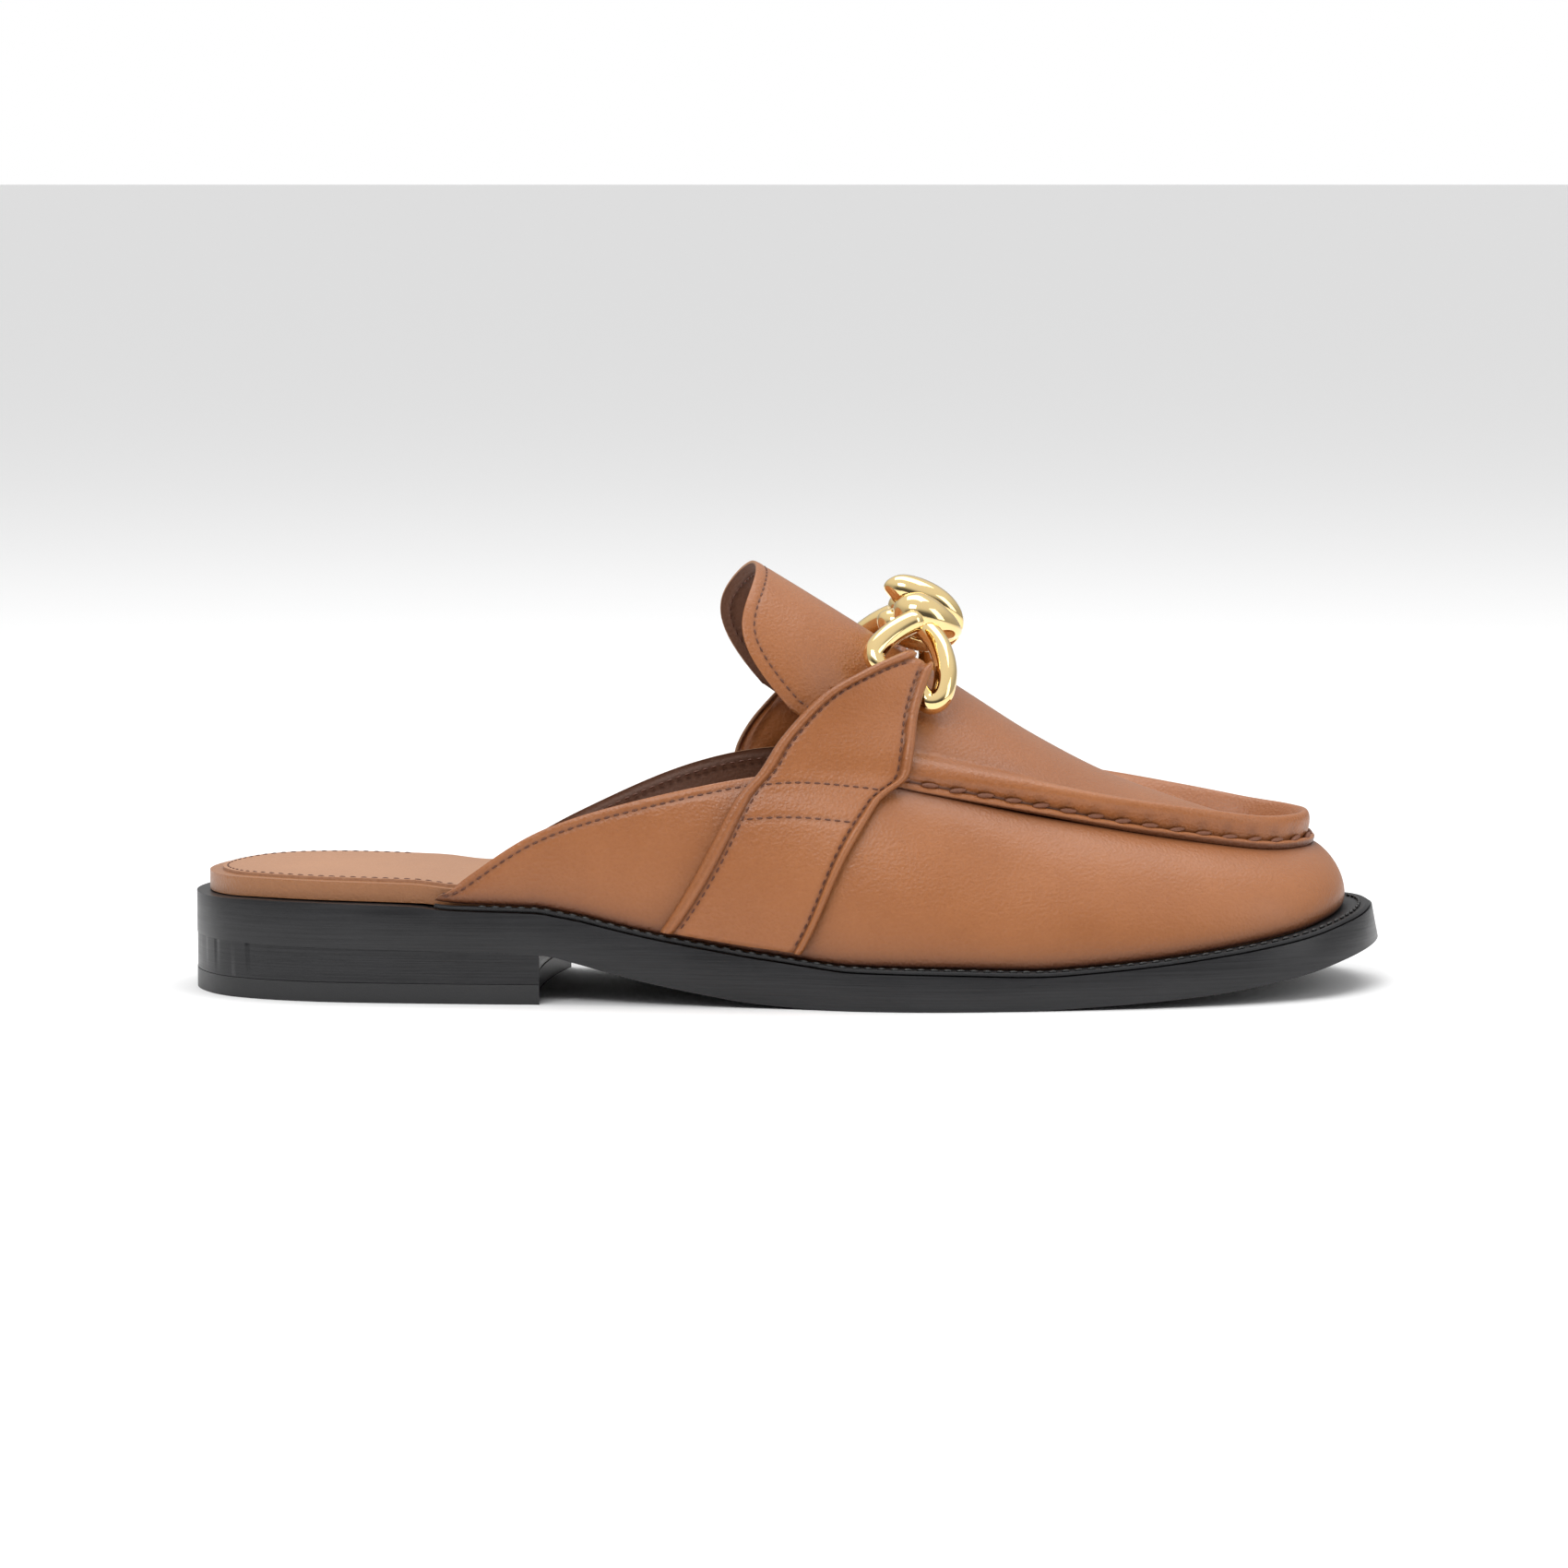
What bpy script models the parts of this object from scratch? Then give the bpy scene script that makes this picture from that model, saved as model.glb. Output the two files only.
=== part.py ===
"""Backless loafer, right shoe: heel, sole, welt, footbed, upper, tongue, two straps and a cast knot.

The shoe is drawn straight along its last, as (along, across, height) with along from the heel back to
the toe and across from the lateral to the medial side. One function then swings the heel and the
forepart in plan, which gives the last its left or right curve. Lengths are metres.
"""
import math
from collections import namedtuple

import bmesh
import bpy
import numpy as np
from mathutils import Vector

# Driving dimensions of the last and of the sole
SOLE_LENGTH = 0.2675
BALL_WIDTH = 0.0970
HEEL_WIDTH = 0.0655
INSTEP_HEIGHT = 0.0965
HEEL_SWING = math.radians(-4.3)
TOE_SWING = math.radians(4.8)
HEEL_LENGTH = 0.0815
SWING_START = HEEL_LENGTH
SWING_END = 0.130
BREAST_HOLLOW = 0.0030
SEAT_HEIGHT = 0.0125
TOP_LIFT = 0.0044
OUTSOLE = 0.0079
TOE_SPRING = 0.0106
EDGE_ROUND = 0.0005
TOE_LEDGE = 0.0064

# Thicknesses of the layers, and the clearance that each keeps to its neighbour
FIT = 0.0003
WELT = 0.0008
WELT_SET_BACK = 0.0005
WALL = 0.0018
FOOTBED = 0.0042
FOOTBED_SET_BACK = 0.0030
FOOTBED_RIM = 0.0016
FOOTBED_BLEND = 1.5
SOCK = 0.0006
SOCK_SET_BACK = 0.0014
TONGUE_WALL = 0.0018
STRAP_WALL = 0.0016
STRAP_BEAD = 0.0010
STRAP_BEAD_WIDTH = 0.0023

# Tongue, measured along and round its ridge
RIDGE_SLOPE = math.radians(31.6)
TONGUE_TIP = 0.474 * SOLE_LENGTH
TONGUE_SKEW = 0.0015
TONGUE_LENGTH = 0.0352
TONGUE_RADIUS_TIP = 0.0245
TONGUE_RADIUS_BASE = 0.0270
TONGUE_HALF_ANGLE = math.radians(85.0)
TONGUE_CORNER = 0.0200
TONGUE_CORNER_POWER = 8.0
TONGUE_FREE_SHARE = 0.35

# Cast ornament
RING_BAR = 0.0027
RING_BAR_IN_STRAP = 0.00165
FOLD_RADIUS = 0.0020
KNOT_LENGTH = 0.0235
KNOT_WIDTH = 0.0215
KNOT_HEIGHT = 0.0160
KNOT_TILT = math.radians(24.0)
KNOT_STRANDS = 7
KNOT_GROOVE = 0.0009
KNOT_ROUNDNESS = 0.85

# Mesh density
HEEL_SIDE_STEPS = 20
BREAST_STEPS = 12
STEPS_PER_STATION = 3
WALL_ROWS = 7
PLUG_COLUMNS = 12
TONGUE_COLUMNS = 18
TONGUE_ROWS = 11
KNOT_ROWS = 10
KNOT_STRAND_COLUMNS = 4
EDGE_COUNT = 60
STRAP_WALL_ROWS = 7
STRAP_FREE_STEPS = 2
FOLD_STEPS = 4
FOLD_SPREAD = (1.00, 0.66, 0.28)
BAR_ROW = 2
RING_STEPS = 3
RING_CLEAR = 0.20
RING_SIDES = 8

# Edge of the sole from the heel back, round the lateral side and the toe, to the medial side.
# along is a share of SOLE_LENGTH and across a share of the width named in the row.
Edge = namedtuple("Edge", "along across width")
SOLE_EDGE = (
    Edge(0.000, 0.000, HEEL_WIDTH),
    Edge(0.012, -0.210, HEEL_WIDTH),
    Edge(0.046, -0.378, HEEL_WIDTH),
    Edge(0.113, -0.482, HEEL_WIDTH),
    Edge(0.217, -0.502, HEEL_WIDTH),
    Edge(0.301, -0.500, HEEL_WIDTH),
    Edge(0.395, -0.358, BALL_WIDTH),
    Edge(0.489, -0.418, BALL_WIDTH),
    Edge(0.549, -0.474, BALL_WIDTH),
    Edge(0.617, -0.502, BALL_WIDTH),
    Edge(0.714, -0.500, BALL_WIDTH),
    Edge(0.800, -0.478, BALL_WIDTH),
    Edge(0.876, -0.430, BALL_WIDTH),
    Edge(0.937, -0.345, BALL_WIDTH),
    Edge(0.982, -0.195, BALL_WIDTH),
    Edge(1.000, 0.000, BALL_WIDTH),
    Edge(0.983, 0.200, BALL_WIDTH),
    Edge(0.940, 0.355, BALL_WIDTH),
    Edge(0.880, 0.445, BALL_WIDTH),
    Edge(0.800, 0.490, BALL_WIDTH),
    Edge(0.714, 0.504, BALL_WIDTH),
    Edge(0.632, 0.490, BALL_WIDTH),
    Edge(0.556, 0.432, BALL_WIDTH),
    Edge(0.489, 0.370, BALL_WIDTH),
    Edge(0.402, 0.325, BALL_WIDTH),
    Edge(0.312, 0.478, HEEL_WIDTH),
    Edge(0.226, 0.492, HEEL_WIDTH),
    Edge(0.118, 0.486, HEEL_WIDTH),
    Edge(0.046, 0.380, HEEL_WIDTH),
    Edge(0.012, 0.214, HEEL_WIDTH),
)

# Upper edge of the upper, a row for each sole station that carries it. inset is a share of
# TOE_LEDGE. Between the first and last rows with a roll, the edge is the lip under the rolled seam:
# roll_in, roll_up and roll_out are shares of the roll's width, rise and bulge.
ROLL_WIDTH = 0.0075
ROLL_RISE = 0.0090
ROLL_BULGE = 0.0060
Lip = namedtuple("Lip", "along across height inset roll_in roll_up roll_out")
FIRST_LIP = 4
LIP_EDGE = (
    Lip(0.227, -0.320, 0.258, 0.30, 0.00, 0.00, 0.00),
    Lip(0.300, -0.322, 0.393, 0.28, 0.00, 0.00, 0.00),
    Lip(0.392, -0.320, 0.482, 0.25, 0.00, 0.00, 0.00),
    Lip(0.480, -0.318, 0.531, 0.32, 0.00, 0.00, 0.00),
    Lip(0.549, -0.318, 0.518, 0.45, 0.56, 0.90, 0.12),
    Lip(0.602, -0.314, 0.484, 0.54, 0.62, 0.97, 0.30),
    Lip(0.699, -0.293, 0.430, 0.55, 0.76, 0.90, 0.62),
    Lip(0.774, -0.268, 0.387, 0.56, 0.88, 0.66, 0.88),
    Lip(0.843, -0.238, 0.354, 0.65, 0.96, 0.46, 1.00),
    Lip(0.900, -0.186, 0.331, 0.80, 1.00, 0.40, 1.00),
    Lip(0.937, -0.100, 0.328, 0.94, 1.00, 0.38, 1.00),
    Lip(0.9496, 0.000, 0.331, 1.00, 1.00, 0.38, 1.00),
    Lip(0.938, 0.106, 0.333, 0.94, 1.00, 0.38, 1.00),
    Lip(0.904, 0.198, 0.341, 0.80, 1.00, 0.40, 1.00),
    Lip(0.848, 0.248, 0.366, 0.65, 0.96, 0.46, 1.00),
    Lip(0.780, 0.276, 0.399, 0.56, 0.88, 0.66, 0.88),
    Lip(0.703, 0.298, 0.433, 0.55, 0.76, 0.90, 0.62),
    Lip(0.610, 0.314, 0.488, 0.50, 0.62, 0.97, 0.30),
    Lip(0.552, 0.318, 0.520, 0.40, 0.56, 0.90, 0.12),
    Lip(0.489, 0.316, 0.531, 0.30, 0.00, 0.00, 0.00),
    Lip(0.402, 0.312, 0.478, 0.25, 0.00, 0.00, 0.00),
    Lip(0.312, 0.310, 0.378, 0.28, 0.00, 0.00, 0.00),
    Lip(0.235, 0.312, 0.254, 0.30, 0.00, 0.00, 0.00),
)
FIRST_ROLL = 4
LAST_ROLL = 18

# Section of the rolled seam from the lip to the plug: chord is the share of the way, out the
# share of the bulge. The low second and third rows are the lip, the next is the stitch groove.
Roll = namedtuple("Roll", "chord out")
ROLL_SECTION = (
    Roll(0.01, 0.20),
    Roll(0.14, 0.26),
    Roll(0.20, 0.13),
    Roll(0.26, 0.42),
    Roll(0.36, 0.78),
    Roll(0.52, 1.00),
    Roll(0.70, 0.86),
    Roll(0.86, 0.42),
)

# Height of the plug's ridge along the shoe, as shares of SOLE_LENGTH and INSTEP_HEIGHT
Ridge = namedtuple("Ridge", "along height")
PLUG_RIDGE = (
    Ridge(0.474, 1.000),
    Ridge(0.587, 0.805),
    Ridge(0.647, 0.700),
    Ridge(0.712, 0.585),
    Ridge(0.780, 0.488),
    Ridge(0.840, 0.430),
    Ridge(0.888, 0.392),
    Ridge(0.922, 0.368),
)
PLUG_BOW = 0.0110
PLUG_BOW_FADE = 3.0
PLUG_HEART = 0.168

# Belly of the upper's wall: how far it stands out over the welt, and the shares of its rise and
# of its reach that shape it
WALL_BELLY = 0.0012
WALL_FOOT_RISE = 0.42
WALL_EDGE_REACH = 0.55
WALL_EDGE_DROP = 0.12

# Underside of the outsole over the floor, as shares of SEAT_HEIGHT behind the ball and of
# TOE_SPRING in front of it, and the outsole's thickness as shares of OUTSOLE
Level = namedtuple("Level", "along share size")
UNDERSIDE = (
    Level(0.000, 1.00, SEAT_HEIGHT),
    Level(0.150, 0.96, SEAT_HEIGHT),
    Level(0.300, 0.87, SEAT_HEIGHT),
    Level(0.325, 0.75, SEAT_HEIGHT),
    Level(0.356, 0.57, SEAT_HEIGHT),
    Level(0.387, 0.41, SEAT_HEIGHT),
    Level(0.438, 0.20, SEAT_HEIGHT),
    Level(0.468, 0.10, SEAT_HEIGHT),
    Level(0.508, 0.03, SEAT_HEIGHT),
    Level(0.538, 0.00, SEAT_HEIGHT),
    Level(0.690, 0.00, TOE_SPRING),
    Level(0.740, 0.05, TOE_SPRING),
    Level(0.790, 0.12, TOE_SPRING),
    Level(0.846, 0.23, TOE_SPRING),
    Level(0.880, 0.34, TOE_SPRING),
    Level(0.930, 0.56, TOE_SPRING),
    Level(0.965, 0.78, TOE_SPRING),
    Level(1.000, 1.00, TOE_SPRING),
)
THICKNESS = (
    Level(0.000, 1.17, OUTSOLE),
    Level(0.080, 1.27, OUTSOLE),
    Level(0.195, 1.25, OUTSOLE),
    Level(0.235, 1.15, OUTSOLE),
    Level(0.300, 1.18, OUTSOLE),
    Level(0.345, 1.27, OUTSOLE),
    Level(0.385, 1.25, OUTSOLE),
    Level(0.470, 1.20, OUTSOLE),
    Level(0.540, 1.06, OUTSOLE),
    Level(0.620, 1.00, OUTSOLE),
    Level(0.700, 0.93, OUTSOLE),
    Level(0.790, 0.99, OUTSOLE),
    Level(0.860, 1.06, OUTSOLE),
    Level(0.940, 1.02, OUTSOLE),
    Level(1.000, 0.93, OUTSOLE),
)
FOOTBED_THICKNESS = (
    Level(0.000, 1.00, FOOTBED),
    Level(0.300, 1.00, FOOTBED),
    Level(0.550, 0.62, FOOTBED),
    Level(1.000, 0.52, FOOTBED),
)

# Section of the footbed's rim: shares of its width and of the footbed's thickness
Rim = namedtuple("Rim", "inset height")
RIM_SECTION = (
    Rim(0.15, 0.00),
    Rim(0.00, 0.15),
    Rim(0.00, 0.55),
    Rim(0.25, 0.82),
    Rim(1.00, 1.00),
)

# Free part of a strap above the topline, on its inner face: shares of SOLE_LENGTH, BALL_WIDTH
# and INSTEP_HEIGHT for the rear and the front edge
StrapRow = namedtuple("StrapRow", "rear_along rear_across rear_height front_along front_across front_height")
STRAP_REAR_STATIONS = (1.98, 2.83)
STRAP_FRONT_STATIONS = (3.10, 4.68)
STRAP_WALL_TOP = 0.80
STRAP_FOOT = 0.03
STRAP_FREE = (
    StrapRow(0.468, 0.334, 0.538, 0.589, 0.334, 0.512),
    StrapRow(0.486, 0.322, 0.615, 0.596, 0.316, 0.575),
    StrapRow(0.517, 0.302, 0.705, 0.600, 0.266, 0.650),
    StrapRow(0.553, 0.264, 0.757, 0.606, 0.238, 0.704),
    StrapRow(0.586, 0.216, 0.792, 0.612, 0.218, 0.740),
)

# Section of the bead along a strap's edge: away is a share of the bead's width, wall and bead
# are shares of the strap's and the bead's height
Bead = namedtuple("Bead", "away wall bead")
BEAD_SECTION = (
    Bead(0.00, 0.80, 0.20),
    Bead(0.20, 1.00, 0.70),
    Bead(0.50, 1.00, 1.00),
    Bead(0.80, 1.00, 0.70),
    Bead(1.00, 1.00, 0.00),
)

# Centre line of one cast ring, with its bar as a share of RING_BAR, for the medial side
RingPoint = namedtuple("RingPoint", "along across height bar")
RING_ROUTE = (
    RingPoint(0.611, 0.228, 0.681, 1.00),
    RingPoint(0.627, 0.212, 0.700, 1.00),
    RingPoint(0.632, 0.176, 0.752, 1.00),
    RingPoint(0.626, 0.120, 0.822, 1.00),
    RingPoint(0.608, 0.082, 0.858, 1.00),
    RingPoint(0.585, 0.110, 0.848, 1.00),
    RingPoint(0.571, 0.155, 0.829, 1.00),
    RingPoint(0.564, 0.202, 0.796, 1.00),
)
KNOT_ALONG = 0.6086 * SOLE_LENGTH
KNOT_MIDDLE = 0.8736 * INSTEP_HEIGHT

LEATHER = (0.235, 0.088, 0.030)
LINING = (0.150, 0.058, 0.026)
BLACK = (0.012, 0.012, 0.013)
GOLD = (0.80, 0.58, 0.26)


def clear_scene():
    """Remove every object that the file opened with."""
    for item in list(bpy.data.objects):
        bpy.data.objects.remove(item, do_unlink=True)


def finish(name, colour, roughness, metallic=0.0):
    """Return a Principled material of one colour."""
    material = bpy.data.materials.new(name)
    material.use_nodes = True
    shader = material.node_tree.nodes["Principled BSDF"]
    shader.inputs["Base Color"].default_value = (*colour, 1.0)
    shader.inputs["Roughness"].default_value = roughness
    shader.inputs["Metallic"].default_value = metallic
    return material


def add_object(name, points, faces, material):
    """Make a smooth-shaded object from points in the straight last frame."""
    builder = bmesh.new()
    corners = [builder.verts.new(swung(point)) for point in points]
    for face in faces:
        loop = [corners[index] for index in face]
        if len(set(face)) == len(face):
            builder.faces.new(loop)
    bmesh.ops.recalc_face_normals(builder, faces=builder.faces)
    mesh = bpy.data.meshes.new(name)
    builder.to_mesh(mesh)
    builder.free()
    mesh.materials.append(material)
    item = bpy.data.objects.new(name, mesh)
    bpy.context.collection.objects.link(item)
    mesh.shade_smooth()
    mesh.set_sharp_from_angle(angle=math.radians(38.0))
    return item


def centre_line():
    """Return samples (along, x, y, swing) of the swung centre line of the last."""
    steps = np.linspace(-0.02, 0.32, 681)
    share = np.clip((steps - SWING_START) / (SWING_END - SWING_START), 0.0, 1.0)
    swing = HEEL_SWING + (TOE_SWING - HEEL_SWING) * share * share * (3.0 - 2.0 * share)
    pace = np.gradient(steps)
    x = np.cumsum(np.cos(swing) * pace)
    y = np.cumsum(np.sin(swing) * pace)
    x -= np.interp(0.0, steps, x)
    y -= np.interp(0.0, steps, y)
    return steps, x, y, swing


CENTRE = centre_line()


def swung(point):
    """Carry a point of the straight last into the swung last."""
    along, across, height = point
    steps, x, y, swing = CENTRE
    turn = np.interp(along, steps, swing)
    return Vector((
        float(np.interp(along, steps, x) - across * math.sin(turn)),
        float(np.interp(along, steps, y) + across * math.cos(turn)),
        float(height),
    ))


def smooth_value(xs, ys, x):
    """Interpolate without overshoot through rows (xs, ys)."""
    xs = np.asarray(xs, float)
    ys = np.asarray(ys, float)
    steps = np.diff(xs)
    slopes = np.diff(ys) / steps
    tangents = np.zeros(len(xs))
    for row in range(1, len(xs) - 1):
        before = slopes[row - 1]
        after = slopes[row]
        if before * after > 0.0:
            tangents[row] = 2.0 * before * after / (before + after)
    tangents[0] = slopes[0]
    tangents[-1] = slopes[-1]
    x = np.clip(x, xs[0], xs[-1])
    row = np.clip(np.searchsorted(xs, x) - 1, 0, len(steps) - 1)
    t = (x - xs[row]) / steps[row]
    return ((2 * t**3 - 3 * t**2 + 1) * ys[row] + (t**3 - 2 * t**2 + t) * steps[row] * tangents[row]
            + (3 * t**2 - 2 * t**3) * ys[row + 1] + (t**3 - t**2) * steps[row] * tangents[row + 1])


def spline(rows, station, closed):
    """Return the Catmull-Rom point of a table at a station, counted in rows."""
    rows = np.asarray(rows, float)
    count = len(rows)
    base = math.floor(station)
    if not closed:
        base = min(max(base, 0), count - 2)
    t = station - base
    picks = []
    for step in (-1, 0, 1, 2):
        row = base + step
        picks.append(rows[row % count] if closed else rows[min(max(row, 0), count - 1)])
    a, b, c, d = picks
    return 0.5 * (2 * b + (c - a) * t + (2 * a - 5 * b + 4 * c - d) * t**2 + (3 * b - a - 3 * c + d) * t**3)


def level(rows, along):
    """Return a height or thickness of the sole at a distance along it."""
    value = smooth_value([row.along * SOLE_LENGTH for row in rows], [row.share * row.size for row in rows], along)
    return np.maximum(value, 0.0)


def underside(along):
    """Height of the outsole's underside."""
    return level(UNDERSIDE, along)


def seat(along):
    """Height of the outsole's upper face."""
    return underside(along) + level(THICKNESS, along)


EDGE_POINTS = [(row.along * SOLE_LENGTH, row.across * row.width) for row in SOLE_EDGE]


def sole_edge(station, inset=0.0):
    """Return the point of the sole's edge at a station, and the way out, after moving it inward."""
    step = 0.02
    point = spline(EDGE_POINTS, station, closed=True)
    ahead = spline(EDGE_POINTS, station + step, closed=True) - spline(EDGE_POINTS, station - step, closed=True)
    outward = np.array([ahead[1], -ahead[0]]) / np.linalg.norm(ahead)
    if outward[1] * point[1] < 0.0 and abs(point[1]) > 0.3 * HEEL_WIDTH:
        outward = -outward
    return point - outward * inset, outward


def edge_ring(inset, count=EDGE_COUNT):
    """Return stations and inset points round the whole sole, starting at the heel back."""
    stations = np.linspace(0.0, len(SOLE_EDGE), count, endpoint=False)
    return [sole_edge(station, inset(station) if callable(inset) else inset)[0] for station in stations]


def ladder(rings):
    """Faces of a solid from rings of equal length: walls between them and a cap at each end."""
    count = len(rings[0])
    faces = []
    for layer in range(len(rings) - 1):
        for index in range(count):
            after = (index + 1) % count
            faces.append((
                layer * count + index,
                layer * count + after,
                (layer + 1) * count + after,
                (layer + 1) * count + index,
            ))
    for base in (0, (len(rings) - 1) * count):
        for index in range(count // 2):
            other = (count - index) % count
            before = (count - index - 1) % count
            corners = [base + index, base + index + 1, base + before, base + other]
            face = list(dict.fromkeys(corners))
            if len(face) > 2:
                faces.append(tuple(face))
    return [point for ring in rings for point in ring], faces


def slab(name, layers, material):
    """Make a solid from layers, each a ring of plan points and a height function."""
    rings = []
    for ring, height in layers:
        rings.append([(x, y, float(height(x))) for x, y in ring])
    points, faces = ladder(rings)
    return add_object(name, points, faces, material)


def heel_ring(inset):
    """Return the plan of the heel: the sole's edge behind the breast and the hollow breast itself."""
    breast_lateral = 0.0
    while sole_edge(breast_lateral)[0][0] < HEEL_LENGTH:
        breast_lateral += 0.01
    breast_medial = float(len(SOLE_EDGE))
    while sole_edge(breast_medial)[0][0] < HEEL_LENGTH:
        breast_medial -= 0.01
    steps = HEEL_SIDE_STEPS
    lateral = [sole_edge(breast_lateral * index / steps, inset)[0] for index in range(steps + 1)]
    back = len(SOLE_EDGE) - breast_medial
    medial = [sole_edge(breast_medial + back * index / steps, inset)[0] for index in range(steps)]
    start = lateral[-1]
    end = medial[0]
    breast = []
    for index in range(1, BREAST_STEPS):
        share = index / BREAST_STEPS
        hollow = BREAST_HOLLOW * (1.0 - (2.0 * share - 1.0) ** 2)
        breast.append(start + (end - start) * share - np.array([hollow, 0.0]))
    return lateral + breast + medial


def make_heel(material):
    """Make the top lift and the heel block under the outsole."""
    full = heel_ring(0.0)
    rounded = heel_ring(EDGE_ROUND)
    back = float(underside(0.0))
    slope = (float(underside(HEEL_LENGTH)) - back) / HEEL_LENGTH
    slab("top_lift", [
        (rounded, lambda x: 0.0),
        (full, lambda x: EDGE_ROUND),
        (full, lambda x: TOP_LIFT),
    ], material)
    slab("heel_block", [
        (full, lambda x: TOP_LIFT + FIT),
        (full, lambda x: back + slope * x - EDGE_ROUND - FIT),
        (rounded, lambda x: back + slope * x - FIT),
    ], material)


def make_outsole(material):
    """Make the outsole with its arch, toe spring and slightly rounded edges."""
    full = edge_ring(0.0)
    rounded = edge_ring(EDGE_ROUND)
    slab("outsole", [
        (rounded, underside),
        (full, lambda x: underside(x) + EDGE_ROUND),
        (full, lambda x: seat(x) - EDGE_ROUND),
        (rounded, seat),
    ], material)


def lip_table():
    """Return the upper's edge rows in metres: along, across, height, inset and the roll's sizes."""
    rows = []
    for row in LIP_EDGE:
        rows.append((
            row.along * SOLE_LENGTH,
            row.across * BALL_WIDTH,
            row.height * INSTEP_HEIGHT,
            row.inset * TOE_LEDGE,
            row.roll_in * ROLL_WIDTH,
            row.roll_up * ROLL_RISE,
            row.roll_out * ROLL_BULGE,
        ))
    return rows


LIP_POINTS = lip_table()
LAST_STATION = len(LIP_EDGE) - 1


def lip_row(station):
    """Return the interpolated row of the upper's edge."""
    return spline(LIP_POINTS, station, closed=False)


def feather(station):
    """Return the foot of the upper's outer wall at a station, and the way out."""
    row = lip_row(station)
    point, outward = sole_edge(FIRST_LIP + station, row[3])
    foot = seat(point[0]) + FIT + WELT + FIT
    return np.array([point[0], point[1], foot]), np.array([outward[0], outward[1], 0.0])


def wall_point(station, share):
    """Return a point of the upper's outer wall: share 0 at the welt and 1 at its upper edge."""
    foot, outward = feather(station)
    edge = lip_row(station)[:3]
    rise = edge[2] - foot[2]
    reach = np.linalg.norm((edge - foot)[:2])
    up = np.array([0.0, 0.0, 1.0])
    first = foot + up * rise * WALL_FOOT_RISE + outward * WALL_BELLY
    second = edge + outward * reach * WALL_EDGE_REACH - up * rise * WALL_EDGE_DROP
    t = share
    return ((1 - t) ** 3 * foot + 3 * (1 - t) ** 2 * t * first
            + 3 * (1 - t) * t**2 * second + t**3 * edge)


def inward(station):
    """Return the level direction from the upper's edge to the plug at a station."""
    middle = LAST_STATION / 2.0
    step = 0.05
    ahead = lip_row(station + step)[:2] - lip_row(station - step)[:2]
    way = np.array([-ahead[1], ahead[0], 0.0]) / np.linalg.norm(ahead)
    edge = lip_row(station)[:2]
    centre = np.array([lip_row(middle)[0] - PLUG_HEART * SOLE_LENGTH, 0.0])
    if np.dot(way[:2], centre - edge) < 0.0:
        way = -way
    return way


def plug_edge(station):
    """Return where the plug starts inside the roll."""
    row = lip_row(station)
    return row[:3] + inward(station) * row[4] + np.array([0.0, 0.0, row[5]])


def roll_points(station):
    """Return the rolled seam's section between the lip and the plug."""
    row = lip_row(station)
    start = row[:3]
    chord = plug_edge(station) - start
    way = inward(station)
    lean = np.cross(np.cross(way, np.array([0.0, 0.0, 1.0])), chord)
    lean = lean / np.linalg.norm(lean)
    if lean[2] < 0.0:
        lean = -lean
    return [start + chord * part.chord + lean * row[6] * part.out for part in ROLL_SECTION]


def ridge_height(along):
    """Height of the plug's ridge."""
    return smooth_value([row.along * SOLE_LENGTH for row in PLUG_RIDGE],
                        [row.height * INSTEP_HEIGHT for row in PLUG_RIDGE], along)


def plug_rung(station):
    """Return points across the plug from the lateral station to its medial partner."""
    left = plug_edge(station)
    right = plug_edge(LAST_STATION - station)
    back = 1.0 - min(max((station - FIRST_ROLL) / PLUG_BOW_FADE, 0.0), 1.0)
    bow = PLUG_BOW * back * back
    middle = ridge_height(0.5 * (left[0] + right[0]) + bow)
    points = []
    for column in range(PLUG_COLUMNS + 1):
        share = column / PLUG_COLUMNS
        dome = 1.0 - abs(2.0 * share - 1.0) ** 2.0
        point = left + (right - left) * share
        point = point + np.array([bow * dome, 0.0, (middle - 0.5 * (left[2] + right[2])) * dome])
        points.append(point)
    return points


def shell(name, outer, inner, faces, material):
    """Close an outer and an inner skin of the same faces with strips along their free edges."""
    uses = {}
    for face in faces:
        for index, corner in enumerate(face):
            edge = (corner, face[(index + 1) % len(face)])
            uses[edge] = uses.get(edge, 0) + 1
    offset = len(outer)
    closed = list(faces)
    closed.extend(tuple(offset + corner for corner in reversed(face)) for face in faces)
    for first, second in uses:
        if (second, first) not in uses:
            closed.append((second, first, offset + first, offset + second))
    return add_object(name, list(outer) + list(inner), closed, material)


def surface_normals(points, faces, outside):
    """Return unit normals of a skin, turned away from a point inside the shoe."""
    normals = np.zeros((len(points), 3))
    array = np.array(points)
    for face in faces:
        corners = array[list(face)]
        area = np.cross(corners[2] - corners[0], corners[-1] - corners[1])
        for corner in face:
            normals[corner] += area
    if np.dot(normals[outside[0]], outside[1]) < 0.0:
        normals = -normals
    return normals / np.linalg.norm(normals, axis=1)[:, None]


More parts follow.
